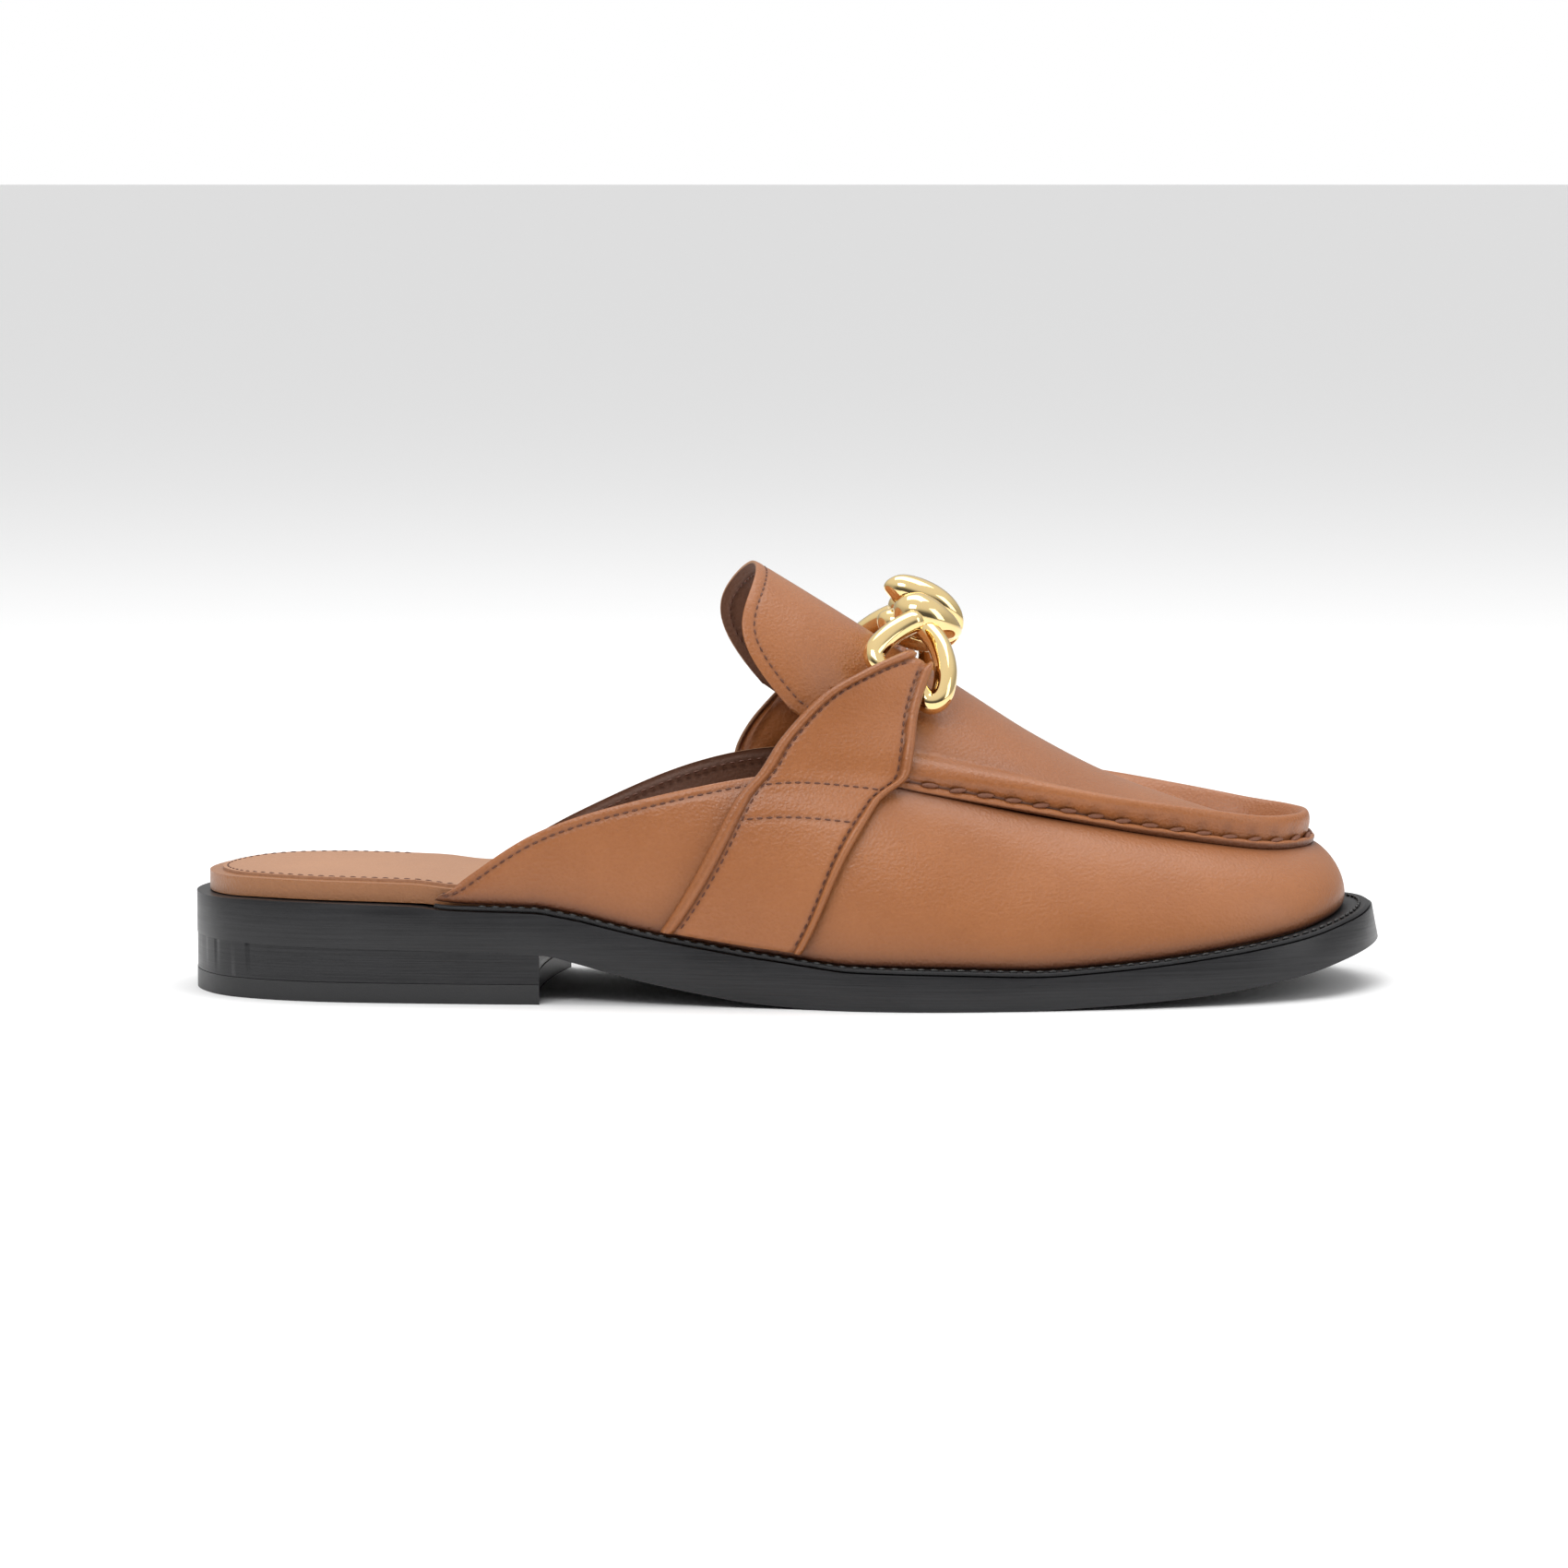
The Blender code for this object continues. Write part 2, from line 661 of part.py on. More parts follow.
def make_upper(material):
    """Make the upper: a wall round the forepart, the rolled seam and the plug inside it."""
    stations = np.linspace(0.0, LAST_STATION, LAST_STATION * STEPS_PER_STATION + 1)
    first = FIRST_ROLL * STEPS_PER_STATION
    last = LAST_ROLL * STEPS_PER_STATION
    outer = []
    base = []
    faces = []
    wall = []
    for station in stations:
        column = []
        for row in range(WALL_ROWS + 1):
            column.append(len(outer))
            point = wall_point(station, row / WALL_ROWS)
            outer.append(point)
            base.append(point)
        wall.append(column)
    for index in range(len(stations) - 1):
        for row in range(WALL_ROWS):
            faces.append((wall[index][row], wall[index + 1][row], wall[index + 1][row + 1], wall[index][row + 1]))
    roll = {}
    for index in range(first, last + 1):
        station = stations[index]
        start = lip_row(station)[:3]
        chord = plug_edge(station) - start
        column = [wall[index][-1]]
        for part, point in zip(ROLL_SECTION, roll_points(station)):
            column.append(len(outer))
            outer.append(point)
            base.append(start + chord * part.chord)
        column.append(len(outer))
        outer.append(plug_edge(station))
        base.append(outer[-1])
        roll[index] = column
    for index in range(first, last):
        for row in range(len(ROLL_SECTION) + 1):
            faces.append((roll[index][row], roll[index + 1][row], roll[index + 1][row + 1], roll[index][row + 1]))
    middle = (first + last) // 2
    rungs = {}
    for index in range(first, middle):
        partner = first + last - index
        rung = [roll[index][-1]]
        for point in plug_rung(stations[index])[1:-1]:
            rung.append(len(outer))
            outer.append(point)
            base.append(point)
        rung.append(roll[partner][-1])
        rungs[index] = rung
    rungs[middle] = [roll[middle][-1]] * (PLUG_COLUMNS + 1)
    for index in range(first, middle):
        for column in range(PLUG_COLUMNS):
            corners = (rungs[index][column], rungs[index + 1][column],
                       rungs[index + 1][column + 1], rungs[index][column + 1])
            face = tuple(dict.fromkeys(corners))
            if len(face) > 2:
                faces.append(face)
    up = np.array([0.0, 0.0, 1.0])
    normals = surface_normals(base, faces, (rungs[first][PLUG_COLUMNS // 2], up))
    inner = np.array(base) - normals * WALL
    for column in wall:
        foot = outer[column[0]]
        inner[column[0]][2] = foot[2]
    return shell("upper", outer, inner, faces, material)


def make_welt(material):
    """Make the thin welt that the upper stands on, along the upper's whole foot."""
    stations = np.linspace(0.0, LAST_STATION, LAST_STATION * 2 + 1)
    rings = []
    for station in stations:
        inset = lip_row(station)[3]
        outside = sole_edge(FIRST_LIP + station, WELT_SET_BACK)[0]
        inside = sole_edge(FIRST_LIP + station, inset + WALL)[0]
        base = seat(outside[0]) + FIT
        inner_base = seat(inside[0]) + FIT
        rings.append([
            (outside[0], outside[1], base),
            (inside[0], inside[1], inner_base),
            (inside[0], inside[1], inner_base + WELT),
            (outside[0], outside[1], base + WELT),
        ])
    points = [point for ring in rings for point in ring]
    faces = [(0, 1, 2, 3)]
    for index in range(len(rings) - 1):
        for corner in range(4):
            after = (corner + 1) % 4
            faces.append((index * 4 + corner, index * 4 + after, index * 4 + 4 + after, index * 4 + 4 + corner))
    end = (len(rings) - 1) * 4
    faces.append((end + 3, end + 2, end + 1, end))
    return add_object("welt", points, faces, material)


def footbed_inset(station):
    """Return how far the footbed's side lies inside the sole's edge."""
    count = len(SOLE_EDGE)
    lateral = station - FIRST_LIP
    medial = station - FIRST_LIP - LAST_STATION
    if lateral < 0.0 or medial > 0.0:
        outside = min(abs(lateral), abs(medial), abs(count - station + FIRST_LIP))
        share = min(outside / FOOTBED_BLEND, 1.0)
        near_end = lip_row(0.0)[3] + WALL + FIT
        return near_end + (FOOTBED_SET_BACK - near_end) * share * share * (3.0 - 2.0 * share)
    return lip_row(lateral)[3] + WALL + FIT


def make_footbed(material):
    """Make the footbed with its rounded rim, and the sock stitched on it."""
    def lower(along):
        return seat(along) + FIT

    def upper(along):
        return lower(along) + level(FOOTBED_THICKNESS, along)

    def ring(extra):
        return edge_ring(lambda station: footbed_inset(station) + extra)

    def at(share):
        return lambda along: lower(along) + (upper(along) - lower(along)) * share

    slab("insole", [(ring(part.inset * FOOTBED_RIM), at(part.height)) for part in RIM_SECTION], material)
    sock = edge_ring(lambda station: footbed_inset(station) + FOOTBED_RIM + SOCK_SET_BACK)
    slab("sock_lining", [
        (sock, lambda along: upper(along) + FIT),
        (sock, lambda along: upper(along) + FIT + SOCK),
    ], material)


def tongue_point(angle, share, depth):
    """Return a point of the tongue: angle round its ridge, share 0 at the tip and 1 at the plug."""
    turn = abs(angle) / TONGUE_HALF_ANGLE
    tip = TONGUE_CORNER * turn ** TONGUE_CORNER_POWER - TONGUE_SKEW * math.sin(angle)
    down = tip + (TONGUE_LENGTH - tip) * share
    radius = TONGUE_RADIUS_TIP + (TONGUE_RADIUS_BASE - TONGUE_RADIUS_TIP) * down / TONGUE_LENGTH
    ridge = np.array([
        TONGUE_TIP + math.cos(RIDGE_SLOPE) * down,
        0.0,
        INSTEP_HEIGHT - math.sin(RIDGE_SLOPE) * down,
    ])
    drop = radius - (radius - depth) * math.cos(angle)
    return ridge + np.array([
        -math.sin(RIDGE_SLOPE) * drop,
        (radius - depth) * math.sin(angle),
        -math.cos(RIDGE_SLOPE) * drop,
    ])


def make_tongue(material):
    """Make the round-ended tongue that carries on from the plug's back edge."""
    back = plug_rung(float(FIRST_ROLL))
    following = plug_rung(FIRST_ROLL + 0.5)
    outer = []
    inner = []
    faces = []
    for column in range(TONGUE_COLUMNS + 1):
        cross = column / TONGUE_COLUMNS
        angle = TONGUE_HALF_ANGLE * (2.0 * cross - 1.0)
        pick = cross * PLUG_COLUMNS
        low = min(int(pick), PLUG_COLUMNS - 1)
        seam = np.array(back[low]) * (1.0 - pick + low) + np.array(back[low + 1]) * (pick - low)
        ahead = np.array(following[low]) * (1.0 - pick + low) + np.array(following[low + 1]) * (pick - low)
        gap = (seam - ahead) / np.linalg.norm(seam - ahead) * FIT
        free_base = tongue_point(angle, 1.0, 0.0)
        for row in range(TONGUE_ROWS + 1):
            share = row / TONGUE_ROWS
            blend = max(0.0, (share - TONGUE_FREE_SHARE) / (1.0 - TONGUE_FREE_SHARE))
            blend = blend * blend * (3.0 - 2.0 * blend)
            shift = (seam + gap - free_base) * blend
            outer.append(tongue_point(angle, share, 0.0) + shift)
            inner.append(tongue_point(angle, share, TONGUE_WALL) + shift)
    for column in range(TONGUE_COLUMNS):
        for row in range(TONGUE_ROWS):
            a = column * (TONGUE_ROWS + 1) + row
            b = a + TONGUE_ROWS + 1
            faces.append((a, b, b + 1, a + 1))
    return shell("tongue", outer, inner, faces, material)


def strap_edges(side):
    """Return the strap's rear and front edge points on its inner face, from the sole to its tip."""
    pairs = []
    for index in range(STRAP_WALL_ROWS + 1):
        share = STRAP_FOOT + (STRAP_WALL_TOP - STRAP_FOOT) * index / STRAP_WALL_ROWS
        pairs.append((share, None, None))
    wall_end = [strap_wall_point(side, STRAP_WALL_TOP, cross, FIT) for cross in (0.0, 1.0)]
    before = [strap_wall_point(side, 0.7 * STRAP_WALL_TOP, cross, FIT) for cross in (0.0, 1.0)]
    knots = [(*before[0], *before[1]), (*wall_end[0], *wall_end[1])]
    for row in STRAP_FREE:
        knots.append((
            row.rear_along * SOLE_LENGTH,
            side * row.rear_across * BALL_WIDTH,
            row.rear_height * INSTEP_HEIGHT,
            row.front_along * SOLE_LENGTH,
            side * row.front_across * BALL_WIDTH,
            row.front_height * INSTEP_HEIGHT,
        ))
    for index in range(1, (len(knots) - 2) * STRAP_FREE_STEPS + 1):
        row = spline(knots, 1.0 + index / STRAP_FREE_STEPS, closed=False)
        pairs.append((None, row[:3], row[3:]))
    return pairs


def strap_wall_point(side, share, cross, offset):
    """Return a point over the upper's wall, cross 0 at the strap's rear edge and 1 at its front."""
    rear = STRAP_REAR_STATIONS[0] + (STRAP_REAR_STATIONS[1] - STRAP_REAR_STATIONS[0]) * share
    front = STRAP_FRONT_STATIONS[0] + (STRAP_FRONT_STATIONS[1] - STRAP_FRONT_STATIONS[0]) * share
    station = rear + (front - rear) * cross
    if side > 0:
        station = LAST_STATION - station
    point = wall_point(station, share)
    step = 0.02
    along = wall_point(station + step, share) - wall_point(station - step, share)
    rise = wall_point(station, min(share + step, 1.0)) - wall_point(station, max(share - step, 0.0))
    normal = np.cross(along, rise)
    normal = normal / np.linalg.norm(normal)
    if normal[1] * side < 0.0:
        normal = -normal
    return point + normal * offset


def strap_crosses(width):
    """Return the crosswise shares of a strap's columns and the height of its face there."""
    bead = [(part.away * STRAP_BEAD_WIDTH / width, STRAP_WALL * part.wall + STRAP_BEAD * part.bead)
            for part in BEAD_SECTION]
    edge = bead[-1][0]
    middle = [(edge + (1.0 - 2.0 * edge) * share, STRAP_WALL) for share in (0.33, 0.67)]
    return bead + middle + [(1.0 - share, height) for share, height in reversed(bead)]


def strap_sheet(side):
    """Return the strap's inner face and its face heights, row by row, up to its tip."""
    rows = []
    heights = []
    for share, rear, front in strap_edges(side):
        if rear is None:
            rear = strap_wall_point(side, share, 0.0, FIT)
            front = strap_wall_point(side, share, 1.0, FIT)
        columns = strap_crosses(np.linalg.norm(front - rear))
        row = []
        for cross, height in columns:
            if share is None:
                row.append(rear + (front - rear) * cross)
            else:
                row.append(strap_wall_point(side, share, cross, FIT))
        rows.append(row)
        heights.append([height for cross, height in columns])
    return np.array(rows), np.array(heights)


def sheet_normals(rows, side):
    """Return unit normals of a sheet of points, turned to the shoe's outside."""
    along = np.gradient(rows, axis=0)
    across = np.gradient(rows, axis=1)
    normals = np.cross(along, across)
    normals /= np.linalg.norm(normals, axis=2)[:, :, None]
    if normals[0, 0, 1] * side < 0.0:
        normals = -normals
    return normals


def strap_with_fold(side):
    """Return the strap's inner skin, outer skin and the middle of its fold, row by row."""
    rows, heights = strap_sheet(side)
    normals = sheet_normals(rows, side)
    inner = list(rows)
    outer = list(rows + normals * heights[:, :, None])
    tip = rows[-1]
    ahead = tip - rows[-2]
    ahead /= np.linalg.norm(ahead, axis=1)[:, None]
    out = normals[-1]
    middle = tip - out * FOLD_RADIUS
    for turn in np.linspace(0.0, math.pi, FOLD_STEPS + 1)[1:]:
        way = out * math.cos(turn) + ahead * math.sin(turn)
        inner.append(middle + way * FOLD_RADIUS)
        outer.append(middle + way * (FOLD_RADIUS + STRAP_WALL))
    for step, spread in enumerate(FOLD_SPREAD):
        back = -2 - step
        depth = 2.0 * FOLD_RADIUS * spread
        inner.append(rows[back] - normals[back] * depth)
        outer.append(rows[back] - normals[back] * (depth + STRAP_WALL))
    bar_row = rows[-BAR_ROW] - normals[-BAR_ROW] * FOLD_RADIUS
    return np.array(inner), np.array(outer), bar_row


def make_strap(name, side, material):
    """Make a saddle strap: over the wall, free over the instep, and folded round the ring's bar."""
    inner, outer, bar_row = strap_with_fold(side)
    columns = inner.shape[1]
    faces = []
    for row in range(inner.shape[0] - 1):
        for column in range(columns - 1):
            corner = row * columns + column
            faces.append((corner, corner + 1, corner + columns + 1, corner + columns))
    return shell(name, outer.reshape(-1, 3), inner.reshape(-1, 3), faces, material)


def ring_route(side):
    """Return the centre line of a cast ring: through the strap's fold, then over to the knot."""
    bar_row = strap_with_fold(side)[2]
    rear = bar_row[0]
    front = bar_row[-1]
    route = []
    for cross in (-RING_CLEAR, 0.0, 0.5, 1.0, 1.0 + RING_CLEAR):
        route.append((*(rear + (front - rear) * cross), RING_BAR_IN_STRAP))
    for row in RING_ROUTE:
        route.append((
            row.along * SOLE_LENGTH,
            side * row.across * BALL_WIDTH,
            row.height * INSTEP_HEIGHT,
            row.bar * RING_BAR,
        ))
    return route


def make_ring(name, side, material):
    """Make the bent round bar of one cast ring as a closed tube."""
    route = ring_route(side)
    steps = len(route) * RING_STEPS
    samples = np.array([spline(route, index / RING_STEPS, closed=True) for index in range(steps)])
    points = []
    centre = samples[:, :3].mean(axis=0)
    for index, sample in enumerate(samples):
        ahead = samples[(index + 1) % steps, :3] - samples[index - 1, :3]
        ahead /= np.linalg.norm(ahead)
        out = sample[:3] - centre
        out -= ahead * np.dot(out, ahead)
        out /= np.linalg.norm(out)
        beside = np.cross(ahead, out)
        for side_index in range(RING_SIDES):
            turn = 2.0 * math.pi * side_index / RING_SIDES
            points.append(sample[:3] + (out * math.cos(turn) + beside * math.sin(turn)) * sample[3])
    faces = []
    for index in range(steps):
        after = (index + 1) % steps
        for corner in range(RING_SIDES):
            beyond = (corner + 1) % RING_SIDES
            faces.append((
                index * RING_SIDES + corner,
                after * RING_SIDES + corner,
                after * RING_SIDES + beyond,
                index * RING_SIDES + beyond,
            ))
    return add_object(name, points, faces, material)


def make_knot(name, material):
    """Make the knot of the ornament: strands side by side, like the segments of a fruit."""
    columns = KNOT_STRANDS * KNOT_STRAND_COLUMNS
    tilt_cos = math.cos(KNOT_TILT)
    tilt_sin = math.sin(KNOT_TILT)
    points = []
    for row in range(1, KNOT_ROWS):
        turn = math.pi * row / KNOT_ROWS
        for column in range(columns):
            around = 2.0 * math.pi * column / columns
            groove = KNOT_GROOVE * (1.0 - abs(math.sin(0.5 * KNOT_STRANDS * around)))
            girth = math.sin(turn) ** KNOT_ROUNDNESS
            ahead = -0.5 * KNOT_LENGTH * math.cos(turn)
            beside = (0.5 * KNOT_WIDTH - groove) * girth * math.cos(around)
            up = (0.5 * KNOT_HEIGHT - groove) * girth * math.sin(around)
            points.append((
                KNOT_ALONG + ahead * tilt_cos + up * tilt_sin,
                beside,
                KNOT_MIDDLE - ahead * tilt_sin + up * tilt_cos,
            ))
    ends = len(points)
    for way in (-1.0, 1.0):
        ahead = way * 0.5 * KNOT_LENGTH
        points.append((KNOT_ALONG + ahead * tilt_cos, 0.0, KNOT_MIDDLE - ahead * tilt_sin))
    faces = []
    for column in range(columns):
        after = (column + 1) % columns
        faces.append((ends, after, column))
        for row in range(KNOT_ROWS - 2):
            faces.append((
                row * columns + column,
                row * columns + after,
                (row + 1) * columns + after,
                (row + 1) * columns + column,
            ))
        last = (KNOT_ROWS - 2) * columns
        faces.append((ends + 1, last + column, last + after))
    return add_object(name, points, faces, material)


def make_ornament(material):
    """Make the ornament as one casting: the knot united with a ring on each side."""
    knot = make_knot("ornament", material)
    for name, side in (("ring_lateral", -1), ("ring_medial", 1)):
        ring = make_ring(name, side, material)
        ring.hide_render = True
        ring.display_type = "WIRE"
        union = knot.modifiers.new(name, "BOOLEAN")
        union.operation = "UNION"
        union.object = ring
    return knot


def centre_on_floor():
    """Move every mesh so that the shoe stands over the origin."""
    solids = [item for item in bpy.data.objects if item.type == "MESH"]
    corners = np.array([tuple(vertex.co) for item in solids for vertex in item.data.vertices])
    low = corners.min(axis=0)
    high = corners.max(axis=0)
    shift = Vector((-(low[0] + high[0]) / 2.0, -(low[1] + high[1]) / 2.0, -low[2]))
    for item in solids:
        for vertex in item.data.vertices:
            vertex.co += shift


def main():
    """Build every piece and set the shoe on the floor with its origin under its middle."""
    clear_scene()
    tan = finish("tan_leather", LEATHER, 0.42)
    brown = finish("brown_lining", LINING, 0.55)
    black = finish("black_leather", BLACK, 0.35)
    gold = finish("polished_gold", GOLD, 0.12, metallic=1.0)
    make_heel(black)
    make_outsole(black)
    make_welt(black)
    make_footbed(brown)
    make_upper(tan)
    make_tongue(tan)
    make_strap("strap_lateral", -1, tan)
    make_strap("strap_medial", 1, tan)
    make_ornament(gold)
    centre_on_floor()


if __name__ == "__main__":
    main()
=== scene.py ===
"""Looks of a backless loafer, right shoe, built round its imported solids.

The shoe is drawn straight along its last, as (along, across, height) with along from the heel back
to the toe and across from the lateral to the medial side. The last then swings the heel and the
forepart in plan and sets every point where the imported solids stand. Lengths are metres.
"""
from __future__ import annotations

import logging
import math
from collections.abc import Callable, Iterable, Sequence
from dataclasses import dataclass, field
from enum import Enum

import bmesh
import bpy
import numpy as np
from mathutils import Matrix, Vector

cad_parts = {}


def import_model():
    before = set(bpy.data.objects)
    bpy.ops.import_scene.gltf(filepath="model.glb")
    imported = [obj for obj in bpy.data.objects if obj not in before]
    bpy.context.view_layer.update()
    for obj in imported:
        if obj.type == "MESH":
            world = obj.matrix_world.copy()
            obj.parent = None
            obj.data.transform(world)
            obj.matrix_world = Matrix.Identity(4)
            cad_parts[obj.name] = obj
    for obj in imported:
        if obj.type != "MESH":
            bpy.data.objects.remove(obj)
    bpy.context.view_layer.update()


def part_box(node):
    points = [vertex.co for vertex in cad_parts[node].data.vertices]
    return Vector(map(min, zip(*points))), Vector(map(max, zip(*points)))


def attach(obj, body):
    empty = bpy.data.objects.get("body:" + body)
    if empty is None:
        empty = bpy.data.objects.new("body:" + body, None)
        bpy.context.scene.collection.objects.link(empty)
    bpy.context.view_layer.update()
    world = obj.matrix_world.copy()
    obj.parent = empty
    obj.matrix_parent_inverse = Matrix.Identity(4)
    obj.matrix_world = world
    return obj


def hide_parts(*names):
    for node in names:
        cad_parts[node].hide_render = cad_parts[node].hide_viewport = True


LOG = logging.getLogger("loafer")
UP = np.array([0.0, 0.0, 1.0])


class Side(Enum):
    """The two sides of the shoe, as the sign of the across direction."""

    LATERAL = -1
    MEDIAL = 1


class Rim(Enum):
    """How the free edge of a leather piece is finished."""

    CUT = 2
    COVERED = 0


def smooth_value(xs: Sequence[float], ys: Sequence[float], x: np.ndarray | float) -> np.ndarray:
    """Interpolate without overshoot through rows.

    Args:
        xs: rising places of the rows.
        ys: values of the rows.
        x: where the value is wanted.

    Returns:
        The value at each place.
    """
    xs = np.asarray(xs, float)
    ys = np.asarray(ys, float)
    steps = np.diff(xs)
    slopes = np.diff(ys) / steps
    tangents = np.zeros(len(xs))
    for row in range(1, len(xs) - 1):
        before = slopes[row - 1]
        after = slopes[row]
        if before * after > 0.0:
            tangents[row] = 2.0 * before * after / (before + after)
    tangents[0] = slopes[0]
    tangents[-1] = slopes[-1]
    x = np.clip(x, xs[0], xs[-1])
    row = np.clip(np.searchsorted(xs, x) - 1, 0, len(steps) - 1)
    t = (x - xs[row]) / steps[row]
    return ((2 * t**3 - 3 * t**2 + 1) * ys[row] + (t**3 - 2 * t**2 + t) * steps[row] * tangents[row]
            + (3 * t**2 - 2 * t**3) * ys[row + 1] + (t**3 - t**2) * steps[row] * tangents[row + 1])


def spline(rows: np.ndarray, station: float, closed: bool) -> np.ndarray:
    """Return the Catmull-Rom point of a table.

    Args:
        rows: the table, a row for each station.
        station: the place, counted in rows.
        closed: whether the last row runs on into the first.

    Returns:
        The interpolated row.
    """
    count = len(rows)
    base = math.floor(station)
    if not closed:
        base = min(max(base, 0), count - 2)
    t = station - base
    picks = []
    for step in (-1, 0, 1, 2):
        row = base + step
        picks.append(rows[row % count] if closed else rows[min(max(row, 0), count - 1)])
    a, b, c, d = picks
    return 0.5 * (2 * b + (c - a) * t + (2 * a - 5 * b + 4 * c - d) * t**2 + (3 * b - a - 3 * c + d) * t**3)


def ease(value: np.ndarray | float) -> np.ndarray | float:
    """Return a value clipped to 0 to 1 and eased at both ends."""
    value = np.clip(value, 0.0, 1.0)
    return value * value * (3.0 - 2.0 * value)


def bump_at(place: np.ndarray | float, centre: float, width: float) -> np.ndarray | float:
    """Return a soft hump of height 1 at a centre."""
    return np.exp(-(((place - centre) / width) ** 2))


def unit(vector: np.ndarray) -> np.ndarray:
    """Return a vector or rows of vectors at length 1."""
    return vector / np.maximum(np.linalg.norm(vector, axis=-1, keepdims=True), 1e-12)


# Edge of the sole from the heel back, round the lateral side and the toe, to the medial side:
# share of the sole's length, share of the heel's or the ball's width
HEEL = 0
BALL = 1
SOLE_EDGE = (
    (0.000, 0.000, HEEL), (0.012, -0.210, HEEL), (0.046, -0.378, HEEL), (0.113, -0.482, HEEL),
    (0.217, -0.502, HEEL), (0.301, -0.500, HEEL), (0.395, -0.358, BALL), (0.489, -0.418, BALL),
    (0.549, -0.474, BALL), (0.617, -0.502, BALL), (0.714, -0.500, BALL), (0.800, -0.478, BALL),
    (0.876, -0.430, BALL), (0.937, -0.345, BALL), (0.982, -0.195, BALL), (1.000, 0.000, BALL),
    (0.983, 0.200, BALL), (0.940, 0.355, BALL), (0.880, 0.445, BALL), (0.800, 0.490, BALL),
    (0.714, 0.504, BALL), (0.632, 0.490, BALL), (0.556, 0.432, BALL), (0.489, 0.370, BALL),
    (0.402, 0.325, BALL), (0.312, 0.478, HEEL), (0.226, 0.492, HEEL), (0.118, 0.486, HEEL),
    (0.046, 0.380, HEEL), (0.012, 0.214, HEEL),
)
TOE_STATION = 15

# Upper edge of the upper: along, across, height, inset from the sole's edge, and the shares of the
# rolled seam's width, rise and bulge. The rolled seam runs from FIRST_ROLL to LAST_ROLL.
LIP_EDGE = (
    (0.227, -0.320, 0.258, 0.30, 0.00, 0.00, 0.00), (0.300, -0.322, 0.393, 0.28, 0.00, 0.00, 0.00),
    (0.392, -0.320, 0.482, 0.25, 0.00, 0.00, 0.00), (0.480, -0.318, 0.531, 0.32, 0.00, 0.00, 0.00),
    (0.549, -0.318, 0.518, 0.45, 0.56, 0.90, 0.12), (0.602, -0.314, 0.484, 0.54, 0.62, 0.97, 0.30),
    (0.699, -0.293, 0.430, 0.55, 0.76, 0.90, 0.62), (0.774, -0.268, 0.387, 0.56, 0.88, 0.66, 0.88),
    (0.843, -0.238, 0.354, 0.65, 0.96, 0.46, 1.00), (0.900, -0.186, 0.331, 0.80, 1.00, 0.40, 1.00),
    (0.937, -0.100, 0.328, 0.94, 1.00, 0.38, 1.00), (0.9496, 0.000, 0.331, 1.00, 1.00, 0.38, 1.00),
    (0.938, 0.106, 0.333, 0.94, 1.00, 0.38, 1.00), (0.904, 0.198, 0.341, 0.80, 1.00, 0.40, 1.00),
    (0.848, 0.248, 0.366, 0.65, 0.96, 0.46, 1.00), (0.780, 0.276, 0.399, 0.56, 0.88, 0.66, 0.88),
    (0.703, 0.298, 0.433, 0.55, 0.76, 0.90, 0.62), (0.610, 0.314, 0.488, 0.50, 0.62, 0.97, 0.30),
    (0.552, 0.318, 0.520, 0.40, 0.56, 0.90, 0.12), (0.489, 0.316, 0.531, 0.30, 0.00, 0.00, 0.00),
    (0.402, 0.312, 0.478, 0.25, 0.00, 0.00, 0.00), (0.312, 0.310, 0.378, 0.28, 0.00, 0.00, 0.00),
    (0.235, 0.312, 0.254, 0.30, 0.00, 0.00, 0.00),
)
FIRST_LIP = 4
FIRST_ROLL = 4
LAST_ROLL = 18
LAST_STATION = len(LIP_EDGE) - 1

# Section of the rolled seam: share of the way from the lip to the plug, share of the bulge
ROLL_SECTION = (
    (0.000, 0.00), (0.005, 0.14), (0.030, 0.25), (0.085, 0.28), (0.140, 0.25), (0.180, 0.14),
    (0.215, 0.12), (0.245, 0.24), (0.275, 0.48), (0.330, 0.72), (0.410, 0.90), (0.520, 1.00),
    (0.640, 0.94), (0.760, 0.72), (0.860, 0.42), (0.930, 0.18), (1.000, 0.00),
)

PLUG_RIDGE = ((0.474, 1.000), (0.587, 0.805), (0.647, 0.700), (0.712, 0.585), (0.780, 0.488),
              (0.840, 0.430), (0.888, 0.392), (0.922, 0.368))
UNDERSIDE_REAR = ((0.000, 1.00), (0.150, 0.96), (0.300, 0.87), (0.325, 0.75), (0.356, 0.57),
                  (0.387, 0.41), (0.438, 0.20), (0.468, 0.10), (0.508, 0.03), (0.538, 0.00))
UNDERSIDE_FRONT = ((0.690, 0.00), (0.740, 0.05), (0.790, 0.12), (0.846, 0.23), (0.880, 0.34),
                   (0.930, 0.56), (0.965, 0.78), (1.000, 1.00))
THICKNESS = ((0.000, 1.17), (0.080, 1.27), (0.195, 1.25), (0.235, 1.15), (0.300, 1.18),
             (0.345, 1.27), (0.385, 1.25), (0.470, 1.20), (0.540, 1.06), (0.620, 1.00),
             (0.700, 0.93), (0.790, 0.99), (0.860, 1.06), (0.940, 1.02), (1.000, 0.93))
FOOTBED_THICKNESS = ((0.000, 1.00), (0.300, 1.00), (0.550, 0.62), (1.000, 0.52))

